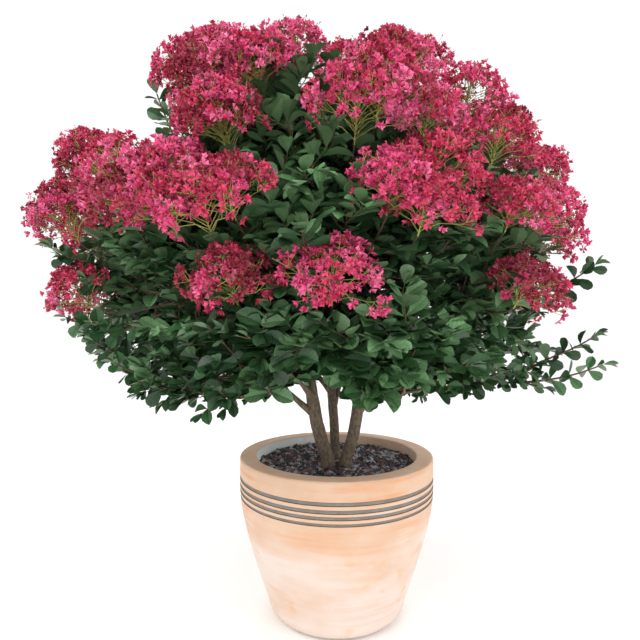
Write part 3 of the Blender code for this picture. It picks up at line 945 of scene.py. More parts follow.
@dataclass(frozen=True)
class ClayWallFinish(Finish):
    """Pale limed clay, peach near the rim; painted light makes it paler below, where the light and the
    floor's bounce brighten the lower wall; with fine turning streaks and warm stains.
    """

    pale: Colour = (0.78, 0.66, 0.59)
    streak: Colour = (0.74, 0.33, 0.15)
    stain: Colour = (0.76, 0.42, 0.17)
    # Painted light: between these heights the wash thins towards the rim, by the fade below, so the lower
    # wall is painted paler
    foot_light_heights: Pair = (0.1, 0.31)
    wash_squeeze: Triple = (5, 5, 11)
    foot_light_fade: float = 0.34
    wash_levels: Pair = (0.2, 0.56)
    streak_squeeze: Triple = (5, 5, 80)
    streak_levels: Pair = (0.4, 0.66)
    streaky_squeeze: Triple = (7, 7, 9)
    streaky_levels: Pair = (0.36, 0.6)
    streak_heights: Pair = (0.2, 0.29)
    streak_below: float = 0.22
    streak_gain: float = 0.55
    stain_squeeze: Triple = (24, 24, 30)
    stain_levels: Pair = (0.62, 0.78)
    stain_share: float = 0.42

    def colour(self, on: Surface) -> Socket:
        """Draws the lime wash, thinned towards the rim as painted light, the streaks that run round the wall
        and the stains.

        Args:
            on: What the finish is drawn on.

        Returns:
            The socket that carries the colour.
        """
        sheet, place = on.sheet, on.place
        body = self.mottled(on, self.base, self.second)
        height = sheet.node("ShaderNodeSeparateXYZ", {0: place}).outputs[2]
        wash = sheet.noise(sheet.stretch(place, self.wash_squeeze), 1.0, 4.0)
        # The wash's patches are its own; its thinning upwards is painted light on the brightly lit lower wall
        foot_light_falloff = sheet.math("MULTIPLY", sheet.ramp(height, *self.foot_light_heights), self.foot_light_fade)
        limed = sheet.ramp(sheet.math("SUBTRACT", wash, foot_light_falloff), *self.wash_levels)
        colour = sheet.mix(limed, body, self.pale)
        lines = sheet.patches(place, self.streak_squeeze, 3.0, self.streak_levels)
        where = sheet.patches(place, self.streaky_squeeze, 2.0, self.streaky_levels)
        gain = sheet.math("MULTIPLY", sheet.ramp(height, *self.streak_heights), self.streak_gain)
        high = sheet.math("ADD", gain, self.streak_below)
        share = sheet.math("MULTIPLY", sheet.math("MULTIPLY", lines, where), high)
        colour = sheet.mix(share, colour, self.streak)
        stains = sheet.patches(place, self.stain_squeeze, 1.0, self.stain_levels)
        return sheet.mix(sheet.math("MULTIPLY", stains, self.stain_share), colour, self.stain)


@dataclass(frozen=True)
class ClayInsideFinish(Finish):
    """The pot's inside: bare clay with painted light on one side, a pale bluish wash that stands for the
    bright sky lighting and reflecting in the inner wall.
    """

    # Painted light on the left of the inner wall: its colour, grain, slope across the pot, start and levels
    painted_sky_light: Colour = (0.9, 0.93, 0.94)
    painted_sky_light_grain: float = 26.0
    painted_sky_light_slope: float = -4.0
    painted_sky_light_start: float = 0.55
    painted_sky_light_levels: Pair = (-0.1, 0.35)

    def colour(self, on: Surface) -> Socket:
        """Draws the clay and the painted light, which fades out across the pot.

        Args:
            on: What the finish is drawn on.

        Returns:
            The socket that carries the colour.
        """
        sheet, place = on.sheet, on.place
        body = self.mottled(on, self.base, self.second)
        across = sheet.node("ShaderNodeSeparateXYZ", {0: place}).outputs[0]
        # Painted light: pale on the left (-X) of the inside, fading out towards the right
        rough = sheet.math("SUBTRACT", sheet.noise(place, self.painted_sky_light_grain, 5.0), self.painted_sky_light_start)
        edge = sheet.math("ADD", sheet.math("MULTIPLY", across, self.painted_sky_light_slope), rough)
        return sheet.mix(sheet.ramp(edge, *self.painted_sky_light_levels), body, self.painted_sky_light)


class LeafTint(Enum):
    """The greens that are dealt out to the sprays of leaves."""

    DEEP = LeafFinish("leaf_deep", (0.034, 0.09, 0.034), (0.012, 0.042, 0.015), vein_and_midrib_shade=(0.006, 0.018, 0.007))
    GREEN = LeafFinish("leaf_green", (0.072, 0.186, 0.07), (0.027, 0.09, 0.031), vein_and_midrib_shade=(0.014, 0.044, 0.016))
    FRESH = LeafFinish(
        "leaf_fresh", (0.184, 0.352, 0.16), (0.076, 0.192, 0.071), 0.38, vein_and_midrib_shade=(0.045, 0.11, 0.045),
    )


class PetalTint(Enum):
    """The reds and pinks that are dealt out to the sprays of blossom; the lit and the shaded one are copies
    of the petal colour, painted light and painted shade.
    """

    # Each second colour is darker: partly the petal's own tone, partly painted shade in its folds
    CRIMSON = PetalFinish("petal_crimson", (0.8, 0.062, 0.175), (0.3, 0.024, 0.05))
    ROSE = PetalFinish("petal_rose", (0.9, 0.098, 0.29), (0.34, 0.026, 0.075))
    # Painted light: a lighter, more magenta copy of the petal colour, dealt to whole heads and branches
    BRIGHT = PetalFinish("petal_bright", (0.93, 0.218, 0.448), (0.55, 0.05, 0.14), 0.52)
    # Painted shade: a darker copy of the petal colour
    DUSK = PetalFinish("petal_dusk", (0.46, 0.034, 0.078), (0.15, 0.016, 0.028), 0.6)


class ChipTint(Enum):
    """The colours of the bark chips on the soil, one of them partly painted highlights."""

    BLACK = ChipFinish("chip_black", (0.1, 0.09, 0.104), (0.03, 0.026, 0.034))
    BROWN = ChipFinish("chip_brown", (0.3, 0.165, 0.14), (0.09, 0.055, 0.054), 0.82)
    # Blue-grey chips: partly grey chips, partly painted highlights, the sky's glint on the dark chips
    SLATE = ChipFinish("chip_slate", (0.52, 0.505, 0.57), (0.18, 0.165, 0.205), 0.75)
    FIBRE = ChipFinish("chip_fibre", (0.78, 0.72, 0.68), (0.45, 0.36, 0.32), bump=0.2)


# Name, base, second colour, roughness, grain, amount, bump, its grain and, for some, its depth
CLAY_WALL = ClayWallFinish("clay_wall", (0.7, 0.46, 0.315), (0.76, 0.56, 0.43), 0.8, 9.0, 0.7, 0.12, 120.0)
CLAY_GROOVE = Finish("clay_groove", (0.25, 0.225, 0.195), (0.17, 0.145, 0.12), 0.75, 40.0, 0.7, 0.2, 150.0)
# Painted shade: the near-black sloping sides of each groove, where shade falls in the recess
CLAY_GROOVE_SHADE = Finish(
    "clay_groove_edge", (0.075, 0.06, 0.05), (0.16, 0.11, 0.08), 0.8, 60.0, 0.8, 0.2, 150.0,
)
CLAY_RIM = Finish("clay_rim", (0.93, 0.55, 0.36), (0.94, 0.7, 0.53), 0.68, 14.0, 0.9, 0.15, 90.0)
CLAY_INSIDE = ClayInsideFinish(
    "clay_inside", (0.82, 0.58, 0.44), (0.66, 0.44, 0.32), 0.85, 14.0, 0.7, 0.2, 90.0,
)
DARK_SOIL = Finish(
    "dark_soil", (0.014, 0.012, 0.013), (0.03, 0.024, 0.024), 0.92, 60.0, 0.8, 0.6, 140.0, 0.004,
)
BARK = Finish(
    "bark", (0.245, 0.18, 0.122), (0.085, 0.064, 0.046), 0.85, 230.0, 1.0, 1.0, 260.0, 0.004,
    squeeze=(1.0, 1.0, 0.5),
)
WOODY_TWIG = Finish("woody_twig", (0.15, 0.085, 0.055), (0.08, 0.05, 0.034), 0.75, 60.0, 0.8, 0.2, 200.0)
GREEN_TWIG = Finish("green_twig", (0.19, 0.105, 0.055), (0.11, 0.12, 0.045), 0.6, 40.0, 0.8, 0.1, 200.0)
FLOWER_STALK = Finish("flower_stalk", (0.42, 0.48, 0.11), (0.38, 0.3, 0.09), 0.6, 45.0, 0.7, 0.1, 200.0)
BUD = Finish("flower_bud", (0.3, 0.12, 0.05), (0.38, 0.04, 0.05), 0.5, 70.0, 0.8, 0.1, 200.0)


# ---- geometry node trees


@dataclass
class GrowTrees:
    """The geometry node trees that turn wires into tubes and points into repeated shapes."""

    relief_stretch: Triple = (1.0, 1.0, 0.4)
    chip_tilt: float = 0.6
    last_chip_form: int = 3

    def __post_init__(self) -> None:
        """Builds the trees."""
        self.tube = self._tube()
        self.scatter = self._scatter()
        self.strew = self._strew()

    @staticmethod
    def _finish(sheet: Sheet, geometry: Socket, given: dict, made: bpy.types.Node) -> None:
        """Ends a tree: real geometry, smooth shading where wanted, and the finish.

        Args:
            sheet: The tree.
            geometry: What it has made.
            given: Its inputs by name.
            made: Its output node.
        """
        real = sheet.node("GeometryNodeRealizeInstances", {0: geometry}).outputs[0]
        shaded = sheet.node("GeometryNodeSetShadeSmooth", {"Geometry": real, "Shade Smooth": given["Smooth"]})
        dress = {"Geometry": shaded.outputs[0], "Material": given["Finish"]}
        dressed = sheet.node("GeometryNodeSetMaterial", dress)
        sheet.tree.links.new(dressed.outputs[0], made.inputs["Geometry"])

    @staticmethod
    def _instances(sheet: Sheet, points: Socket, forms: Socket, marks: Sequence[Socket]) -> Socket:
        """Puts one of a set of forms on every point.

        Args:
            sheet: The tree.
            points: The points.
            forms: The collection of forms.
            marks: The turn, the size and the number of the form at a point.

        Returns:
            The socket that carries the instances.
        """
        info = {"Collection": forms, "Separate Children": True, "Reset Children": True}
        forms = sheet.node("GeometryNodeCollectionInfo", info).outputs[0]
        turn, size, form = marks
        settings = {
            "Points": points, "Instance": forms, "Pick Instance": True, "Instance Index": form,
            "Rotation": turn, "Scale": size,
        }
        return sheet.node("GeometryNodeInstanceOnPoints", settings).outputs[0]

    def _tube(self) -> Tree:
        """Builds round tubes along wires, with an optional bark relief.

        Returns:
            The node group.
        """
        inputs = {
            "Wires": ("Geometry", None), "Sides": ("Int", 4), "Relief Depth": ("Float", 0.0),
            "Relief Grain": ("Float", 80.0), "Smooth": ("Bool", True), "Finish": ("Material", None),
        }
        sheet, given, made = new_group("Tubes", "GeometryNodeTree", inputs, {"Geometry": "Geometry"})
        curve = sheet.node("GeometryNodeMeshToCurve", {0: given["Wires"]}).outputs[0]
        thickness = sheet.attribute("thickness", "FLOAT")
        curve = sheet.node("GeometryNodeSetCurveRadius", {"Curve": curve, "Radius": thickness}).outputs[0]
        circle = sheet.node("GeometryNodeCurvePrimitiveCircle", {"Resolution": given["Sides"], "Radius": 1.0})
        sweep = {"Curve": curve, "Profile Curve": circle.outputs[0], "Scale": thickness, "Fill Caps": True}
        tube = sheet.node("GeometryNodeCurveToMesh", sweep)
        drawn = sheet.stretch(sheet.node("GeometryNodeInputPosition").outputs[0], self.relief_stretch)
        lump = sheet.math("SUBTRACT", sheet.noise(drawn, given["Relief Grain"], 3.0), 0.5)
        depth = sheet.math("MULTIPLY", lump, given["Relief Depth"])
        push = {0: sheet.node("GeometryNodeInputNormal").outputs[0], "Scale": depth}
        offset = sheet.node("ShaderNodeVectorMath", push, operation="SCALE").outputs[0]
        rough = sheet.node("GeometryNodeSetPosition", {"Geometry": tube.outputs[0], "Offset": offset})
        self._finish(sheet, rough.outputs[0], given, made)
        return sheet.tree

    def _scatter(self) -> Tree:
        """Builds one of several forms on every point, turned and sized as the point says.

        Returns:
            The node group.
        """
        inputs = {
            "Places": ("Geometry", None), "Forms": ("Collection", None),
            "Smooth": ("Bool", True), "Finish": ("Material", None),
        }
        sheet, given, made = new_group("Scatter", "GeometryNodeTree", inputs, {"Geometry": "Geometry"})
        marks = [
            sheet.attribute(name, data_type)
            for name, data_type in (("turn", "QUATERNION"), ("size", "FLOAT"), ("form", "INT"))
        ]
        self._finish(sheet, self._instances(sheet, given["Places"], given["Forms"], marks), given, made)
        return sheet.tree

    def _strew(self) -> Tree:
        """Builds chips strewn at random over a surface.

        Returns:
            The node group.
        """
        inputs = {
            "Ground": ("Geometry", None), "Forms": ("Collection", None), "Density": ("Float", 5000.0),
            "Smallest": ("Float", 0.005), "Largest": ("Float", 0.01), "Seed": ("Int", 0),
            "Smooth": ("Bool", False), "Finish": ("Material", None),
        }
        sheet, given, made = new_group("Strew", "GeometryNodeTree", inputs, {"Geometry": "Geometry"})
        spread = {"Mesh": given["Ground"], "Density": given["Density"], "Seed": given["Seed"]}
        spots = sheet.node("GeometryNodeDistributePointsOnFaces", spread).outputs[0]
        tilt = self.chip_tilt
        draws = (  # of the turn, the size and the form: type, range, and the output that bears the result
            ("FLOAT_VECTOR", {0: (-tilt, -tilt, 0.0), 1: (tilt, tilt, math.tau)}, 0),
            ("FLOAT", {2: given["Smallest"], 3: given["Largest"]}, 1),
            ("INT", {4: 0, 5: self.last_chip_form}, 2),
        )
        marks = [
            sheet.node(
                "FunctionNodeRandomValue", {**limits, "Seed": given["Seed"]}, data_type=data_type,
            ).outputs[number]
            for data_type, limits, number in draws
        ]
        self._finish(sheet, self._instances(sheet, spots, given["Forms"], marks), given, made)
        return sheet.tree


# ---- pieces


@dataclass
class Workshop:
    """What every sub-assembly is built with: the collection, the shared effects and the node trees."""

    where: bpy.types.Collection
    effects: ShaderEffects
    trees: GrowTrees
    finishes: dict[str, bpy.types.Material] = field(default_factory=dict)

    def finish(self, finish: Finish) -> bpy.types.Material:
        """Gives the material of a finish, built once.

        Args:
            finish: The finish.

        Returns:
            The material.
        """
        if finish.name not in self.finishes:
            self.finishes[finish.name] = finish.make(self.effects)
        return self.finishes[finish.name]

    @staticmethod
    def form_set(name: str, meshes: Sequence[Mesh]) -> bpy.types.Collection:
        """Puts the forms of a repeated shape in a collection of their own.

        Args:
            name: The set's name.
            meshes: The forms, in the order of their numbers.

        Returns:
            The collection that the scattering nodes read.
        """
        made = bpy.data.collections.new(name)
        for k, mesh in enumerate(meshes):
            made.objects.link(bpy.data.objects.new(f"{name}_{k}", mesh))
        return made

    def place(self, name: str, mesh: Mesh) -> bpy.types.Object:
        """Makes a piece of a mesh.

        Args:
            name: The piece's name.
            mesh: The mesh.

        Returns:
            The piece.
        """
        piece = bpy.data.objects.new(name, mesh)
        self.where.objects.link(piece)
        return piece

    def grow(
        self, name: str, source: Mesh, tree: Tree, finish: Finish, slot: str,
        nodes: Iterable[str], **sizes: object,
    ) -> None:
        """Args:
            name: The piece's name.
            source: The mesh that goes in.
            tree: The node tree.
            finish: The piece's finish.
            slot: The record's material slot.
            nodes: The solids that it stands for.
            **sizes: The tree's other inputs, by name with _ for a blank.
        """
        piece = self.place(name, source)
        grower = piece.modifiers.new("Grow", "NODES")
        grower.node_group = tree
        sockets = {
            item.name: item.identifier
            for item in tree.interface.items_tree
            if item.item_type == "SOCKET" and item.in_out == "INPUT"
        }
        for label, value in {**sizes, "Finish": self.finish(finish)}.items():
            grower[sockets[label.replace("_", " ")]] = value
        graph = bpy.context.evaluated_depsgraph_get()
        mesh = bpy.data.meshes.new_from_object(piece.evaluated_get(graph))
        piece.modifiers.clear()
        piece.data = mesh
        mesh.name = name
        self.declare(piece, slot, nodes)

    @staticmethod
    def declare(piece: bpy.types.Object, slot: str, nodes: Iterable[str]) -> None:
        """Says what a piece rides on and which solids it stands for, and hides those solids.

        Args:
            piece: The piece.
            slot: Not used.
            nodes: The solids that it stands for.
        """
        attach(piece, BODY)
        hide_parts(*nodes)
        triangles = sum(len(polygon.vertices) - 2 for polygon in piece.data.polygons)
        log.info("%s: %d triangles", piece.name, triangles)


class Band(IntEnum):
    """What a band of the pot's profile is finished with: the number of its material."""

    WALL = 0
    GROOVE = 1
    RIM = 2
    INSIDE = 3
    # The sloping sides of a groove, painted dark as the shade in the recess
    GROOVE_EDGE = 4


@dataclass
class Pot:
    """The turned clay pot: a straight flare with a rounded foot, four painted grooves and a flat rim."""

    height: float = 0.358
    rim_radius: float = 0.2235
    mouth_radius: float = 0.185
    foot_radius: float = 0.115
    foot_rounding: float = 0.034
    foot_spread: float = 0.158
    belly: Pair = (0.161, 0.1987)
    shoulder: Pair = (0.256, 0.2205)
    wall_at_foot: float = 0.028
    floor_thickness: float = 0.035
    rim_rounding: float = 0.004
    lip_rounding: float = 0.003
    groove_heights: tuple[float, ...] = (0.3146, 0.2995, 0.287, 0.274)
    groove_widths: tuple[float, ...] = (0.0082, 0.008, 0.0074, 0.0062)
    groove_depth: float = 0.0017
    # Each edge of a groove: share of its width from the edge, share of its depth
    groove_edge: float = 0.15
    groove_shares: tuple[float, ...] = (0.0, 0.85, 1.0)
    groove_clearance: float = 0.62
    segments: int = 144
    wall_rows: int = 34
    rim_steps: int = 5
    rim_bands: int = 3
    foot_steps: int = 9
    inside_rows: int = 14
    lip_steps: int = 3
    flat_steps: int = 4
    sharp_angle: float = 40

    def wall_radius(self, height: float) -> float:
        """Gives the outer radius at a height, eased through the pot's named girths.

        Args:
            height: The height.

        Returns:
            The radius.
        """
        heights = (self.foot_rounding, self.belly[0], self.shoulder[0], self.height)
        radii = (self.foot_spread, self.belly[1], self.shoulder[1], self.rim_radius)
        k = max(j for j in range(3) if height >= heights[j] - 1e-9)
        slopes = [(b - a) / (d - c) for a, b, c, d in zip(radii, radii[1:], heights, heights[1:])]
        ends = [slopes[0], (slopes[0] + slopes[1]) / 2, (slopes[1] + slopes[2]) / 2, slopes[2]]
        span = heights[k + 1] - heights[k]
        t = (height - heights[k]) / span
        rise, fall = t * t * (3 - 2 * t), t * (1 - t) ** 2
        return (
            radii[k] * (1 - rise) + radii[k + 1] * rise
            + fall * span * ends[k] - t * t * (1 - t) * span * ends[k + 1]
        )

    def inner_radius(self, height: float) -> float:
        """Gives the radius of the inside at a height.

        Args:
            height: The height.

        Returns:
            The radius.
        """
        at_floor = self.wall_radius(self.floor_thickness + self.foot_rounding) - self.wall_at_foot
        share = (height - self.floor_thickness) / (self.height - self.floor_thickness)
        return at_floor + (self.mouth_radius - at_floor) * share

    def wall(self) -> list[tuple[float, float, Band]]:
        """Draws the outer wall with its grooves, from the rim down to the foot.

        Returns:
            The rows of the profile, as `profile` gives them.
        """
        cuts = []
        for middle, width in zip(self.groove_heights, self.groove_widths):
            half, edge = width / 2, width * self.groove_edge
            for k, share in enumerate(self.groove_shares):
                cuts += [(middle + half - k * edge, share), (middle - half + k * edge, share)]
        top = self.height - 2 * self.rim_rounding
        step = (top - self.foot_rounding) / self.wall_rows
        near = max(self.groove_widths) * self.groove_clearance
        plain = [top - step * k for k in range(self.wall_rows + 1)]
        plain = [z for z in plain if all(abs(z - middle) > near for middle in self.groove_heights)]
        outside = sorted(cuts + [(z, 0.0) for z in plain], key=lambda row: -row[0])
        rows = []
        for k, (z, share) in enumerate(outside):
            below = outside[k + 1][1] if k + 1 < len(outside) else 0.0
            cut = (share > 0) + (below > 0)
            # The sloping sides of a groove take the painted shade, its floor the grey paint
            band = (Band.WALL, Band.GROOVE_EDGE, Band.GROOVE)[cut]
            rows.append((self.wall_radius(z) - self.groove_depth * share, z, band))
        return rows

    def profile(self) -> list[tuple[float, float, Band]]:
        """Draws the profile down the outside, under the foot and up the inside.

        Returns:
            (radius, height, finish of the band that follows) for each point, closed on itself.
        """
        rows: list[tuple[float, float, Band]] = []
        r = self.rim_rounding
        for k in range(self.rim_steps + 1):
            angle = math.radians(90 - 90 / self.rim_steps * k)
            place = self.rim_radius - r + r * math.cos(angle), self.height - r + r * math.sin(angle)
            rows.append((*place, Band.RIM if k < self.rim_bands else Band.WALL))
        rows += self.wall()
        turn = self.foot_spread - self.foot_radius
        for k in range(1, self.foot_steps + 1):
            angle = math.radians(90 / self.foot_steps * k)
            place = self.foot_radius + turn * math.cos(angle), self.foot_rounding * (1 - math.sin(angle))
            rows.append((*place, Band.WALL))
        rows += [(0.0, 0.0, Band.INSIDE), (0.0, self.floor_thickness, Band.INSIDE)]
        top = self.height - self.lip_rounding
        for k in range(self.inside_rows + 1):
            z = self.floor_thickness + (top - self.floor_thickness) * k / self.inside_rows
            rows.append((self.inner_radius(z), z, Band.INSIDE))
        for k in range(1, self.lip_steps + 1):
            angle = math.radians(180 - 90 / self.lip_steps * k)
            lip = self.mouth_radius + self.lip_rounding * (1 + math.cos(angle))
            rows.append((lip, top + self.lip_rounding * math.sin(angle), Band.RIM))
        flat = self.mouth_radius + self.lip_rounding
        for k in range(1, self.flat_steps):
            rows.append((flat + (self.rim_radius - r - flat) * k / self.flat_steps, self.height, Band.RIM))
        return rows

    def mesh(self) -> Mesh:
        """Turns the profile round Z into a closed mesh with its finishes band by band.

        Returns:
            The mesh.
        """
        rows = self.profile()
        vertices: list[Triple] = []
        rings: list[list[int]] = []
        for radius, height, _ in rows:
            first = len(vertices)
            if radius == 0.0:
                rings.append([first] * self.segments)
                vertices.append((0.0, 0.0, height))
            else:
                rings.append(list(range(first, first + self.segments)))
                vertices += ring(radius, height, self.segments)
        faces, bands = [], []
        for (_, _, band), upper, lower in zip(rows, rings, rings[1:] + rings[:1]):
            if upper[0] == upper[1] and lower[0] == lower[1]:
                continue
            for j in range(self.segments):
                i = (j + 1) % self.segments
                faces.append(list(dict.fromkeys((upper[j], lower[j], lower[i], upper[i]))))
                bands.append(band)
        mesh = new_mesh("pot", vertices, faces)
        mesh.polygons.foreach_set("material_index", bands)
        mesh.shade_smooth()
        mesh.set_sharp_from_angle(angle=math.radians(self.sharp_angle))
        return mesh

    def build(self, shop: Workshop) -> None:
        """Builds and dresses the pot.

        Args:
            shop: The workshop.
        """
        mesh = self.mesh()
        for finish in (CLAY_WALL, CLAY_GROOVE, CLAY_RIM, CLAY_INSIDE, CLAY_GROOVE_SHADE):
            mesh.materials.append(shop.finish(finish))
        shop.declare(shop.place("turned_pot", mesh), "terracotta", ["pot"])


@dataclass
class Mulch:
    """The soil in the pot and the bark chips that cover it."""

    top: float = 0.336
    floor: float = 0.036
    wall_gap: float = 0.0003
    rings: int = 22
    segments: int = 72
    unevenness: float = 0.0016
    chip_density: tuple[float, ...] = (7600, 4600, 4300, 2600)  # chips of each tint on a square metre
    chip_sizes: Pair = (0.0085, 0.0225)
    # Width and thickness of each form, as shares of its length
    chip_forms: tuple[Pair, ...] = ((0.42, 0.2), (0.62, 0.24), (0.3, 0.16))
    fibre_forms: tuple[Pair, ...] = ((0.055, 0.05), (0.08, 0.06))
    end_wear: Pair = (0.7, 1.0)
    side_wear: Pair = (0.6, 1.0)
    strewn_radius: float = 0.1788

    def bed_mesh(self, pot: Pot) -> Mesh:
        """Makes the plug of soil with an uneven top.

        Args:
            pot: The pot that it fills.

        Returns:
            The mesh.
        """
        rng = Random(SEED)
        vertices = [(0.0, 0.0, self.top)]
        for number in range(1, self.rings + 1):
            radius = (pot.inner_radius(self.top) - self.wall_gap) * number / self.rings
            for x, y, z in ring(radius, self.top, self.segments):
                vertices.append((x, y, z - rng.uniform(0, self.unevenness)))
        vertices += ring(pot.inner_radius(self.floor) - self.wall_gap, self.floor, self.segments)
        vertices.append((0.0, 0.0, self.floor))
        bottom = len(vertices) - 1
        faces = []
        for number in range(self.rings + 2):
            inner, outer = 1 + (number - 1) * self.segments, 1 + number * self.segments
            for k in range(self.segments):
                j = (k + 1) % self.segments
                if number == 0:
                    faces.append((0, outer + k, outer + j))
                elif number == self.rings + 1:
                    faces.append((inner + k, bottom, inner + j))
                else:
                    faces.append((inner + k, outer + k, outer + j, inner + j))
        return new_mesh("soil_bed", vertices, faces)

    def ground_mesh(self) -> Mesh:
        """Makes the flat disc that chips are strewn on."""
        rim = ring(self.strewn_radius, self.top, self.segments)
        return new_mesh("ground", rim, [tuple(range(self.segments))])

    def splinters(self, forms: Iterable[Pair]) -> list[Mesh]:
        """Makes flat splinters with uneven corners, one unit long.

        Args:
            forms: The width and thickness of each, as shares of its length.

        Returns:
            A mesh for each form.
        """
        rng = Random(SEED)
        meshes = []
        for width, thickness in forms:
            corners = [
                (
                    x / 2 * rng.uniform(*self.end_wear), y * width / 2 * rng.uniform(*self.side_wear),
                    z * thickness / 2 * rng.uniform(*self.side_wear),
                )
                for x in (-1, 1) for y in (-1, 1) for z in (-1, 1)
            ]
            sides = [(0, 1, 3, 2), (4, 6, 7, 5), (0, 4, 5, 1), (2, 3, 7, 6), (0, 2, 6, 4), (1, 5, 7, 3)]
            meshes.append(new_mesh("chip", corners, sides))
        return meshes

    def build(self, shop: Workshop, pot: Pot) -> None:
        """Builds the soil and strews its chips, a piece for each colour.

        Args:
            shop: The workshop.
            pot: The pot that they fill.
        """
        bed = shop.place("soil_bed", self.bed_mesh(pot))
        bed.data.materials.append(shop.finish(DARK_SOIL))
        shop.declare(bed, "mulch", ["soil"])
        chips = shop.form_set("chip", self.splinters(self.chip_forms))
        fibres = shop.form_set("fibre", self.splinters(self.fibre_forms))
        ground = self.ground_mesh()
        smallest, largest = self.chip_sizes
        for seed, (tint, density) in enumerate(zip(ChipTint, self.chip_density)):
            shop.grow(
                f"chips_{tint.name.lower()}", ground.copy(), shop.trees.strew, tint.value, "mulch", ["soil"],
                Forms=fibres if tint is ChipTint.FIBRE else chips,
                Density=density, Smallest=smallest, Largest=largest, Seed=seed,
            )


@dataclass
class Timber:
    """The stems and boughs with their bark."""

    stem_sides: int = 28
    bough_sides: int = 16
    stem_relief: float = 0.005
    bough_relief: float = 0.0026
    relief_grain: float = 120.0
    collar: float = 1.35
    collar_steps: int = 4

    def build(self, shop: Workshop, leaders: Sequence[Limb], boughs: Sequence[Limb]) -> None:
        """Builds the stems as one piece and the boughs as another.

        Args:
            shop: The workshop.
            leaders: The three stems.
            boughs: The limbs that leave them.
        """
        stems, limbs = Strands(), Strands()
        for leader in leaders:
            stems.lay(leader.points, leader.radii)
        for bough in boughs:
            radii = list(bough.radii)
            for k in range(self.collar_steps):
                radii[k] *= 1 + (self.collar - 1) * (1 - k / self.collar_steps)
            limbs.lay(bough.points, radii)
        for name, wires, sides, relief, members in (
            ("bark_stems", stems, self.stem_sides, self.stem_relief, leaders),
            ("bark_boughs", limbs, self.bough_sides, self.bough_relief, boughs),
        ):
            shop.grow(
                name, wires.mesh(name), shop.trees.tube, BARK, "bark", [limb.name for limb in members],
                Sides=sides, Relief_Depth=relief, Relief_Grain=self.relief_grain,
            )


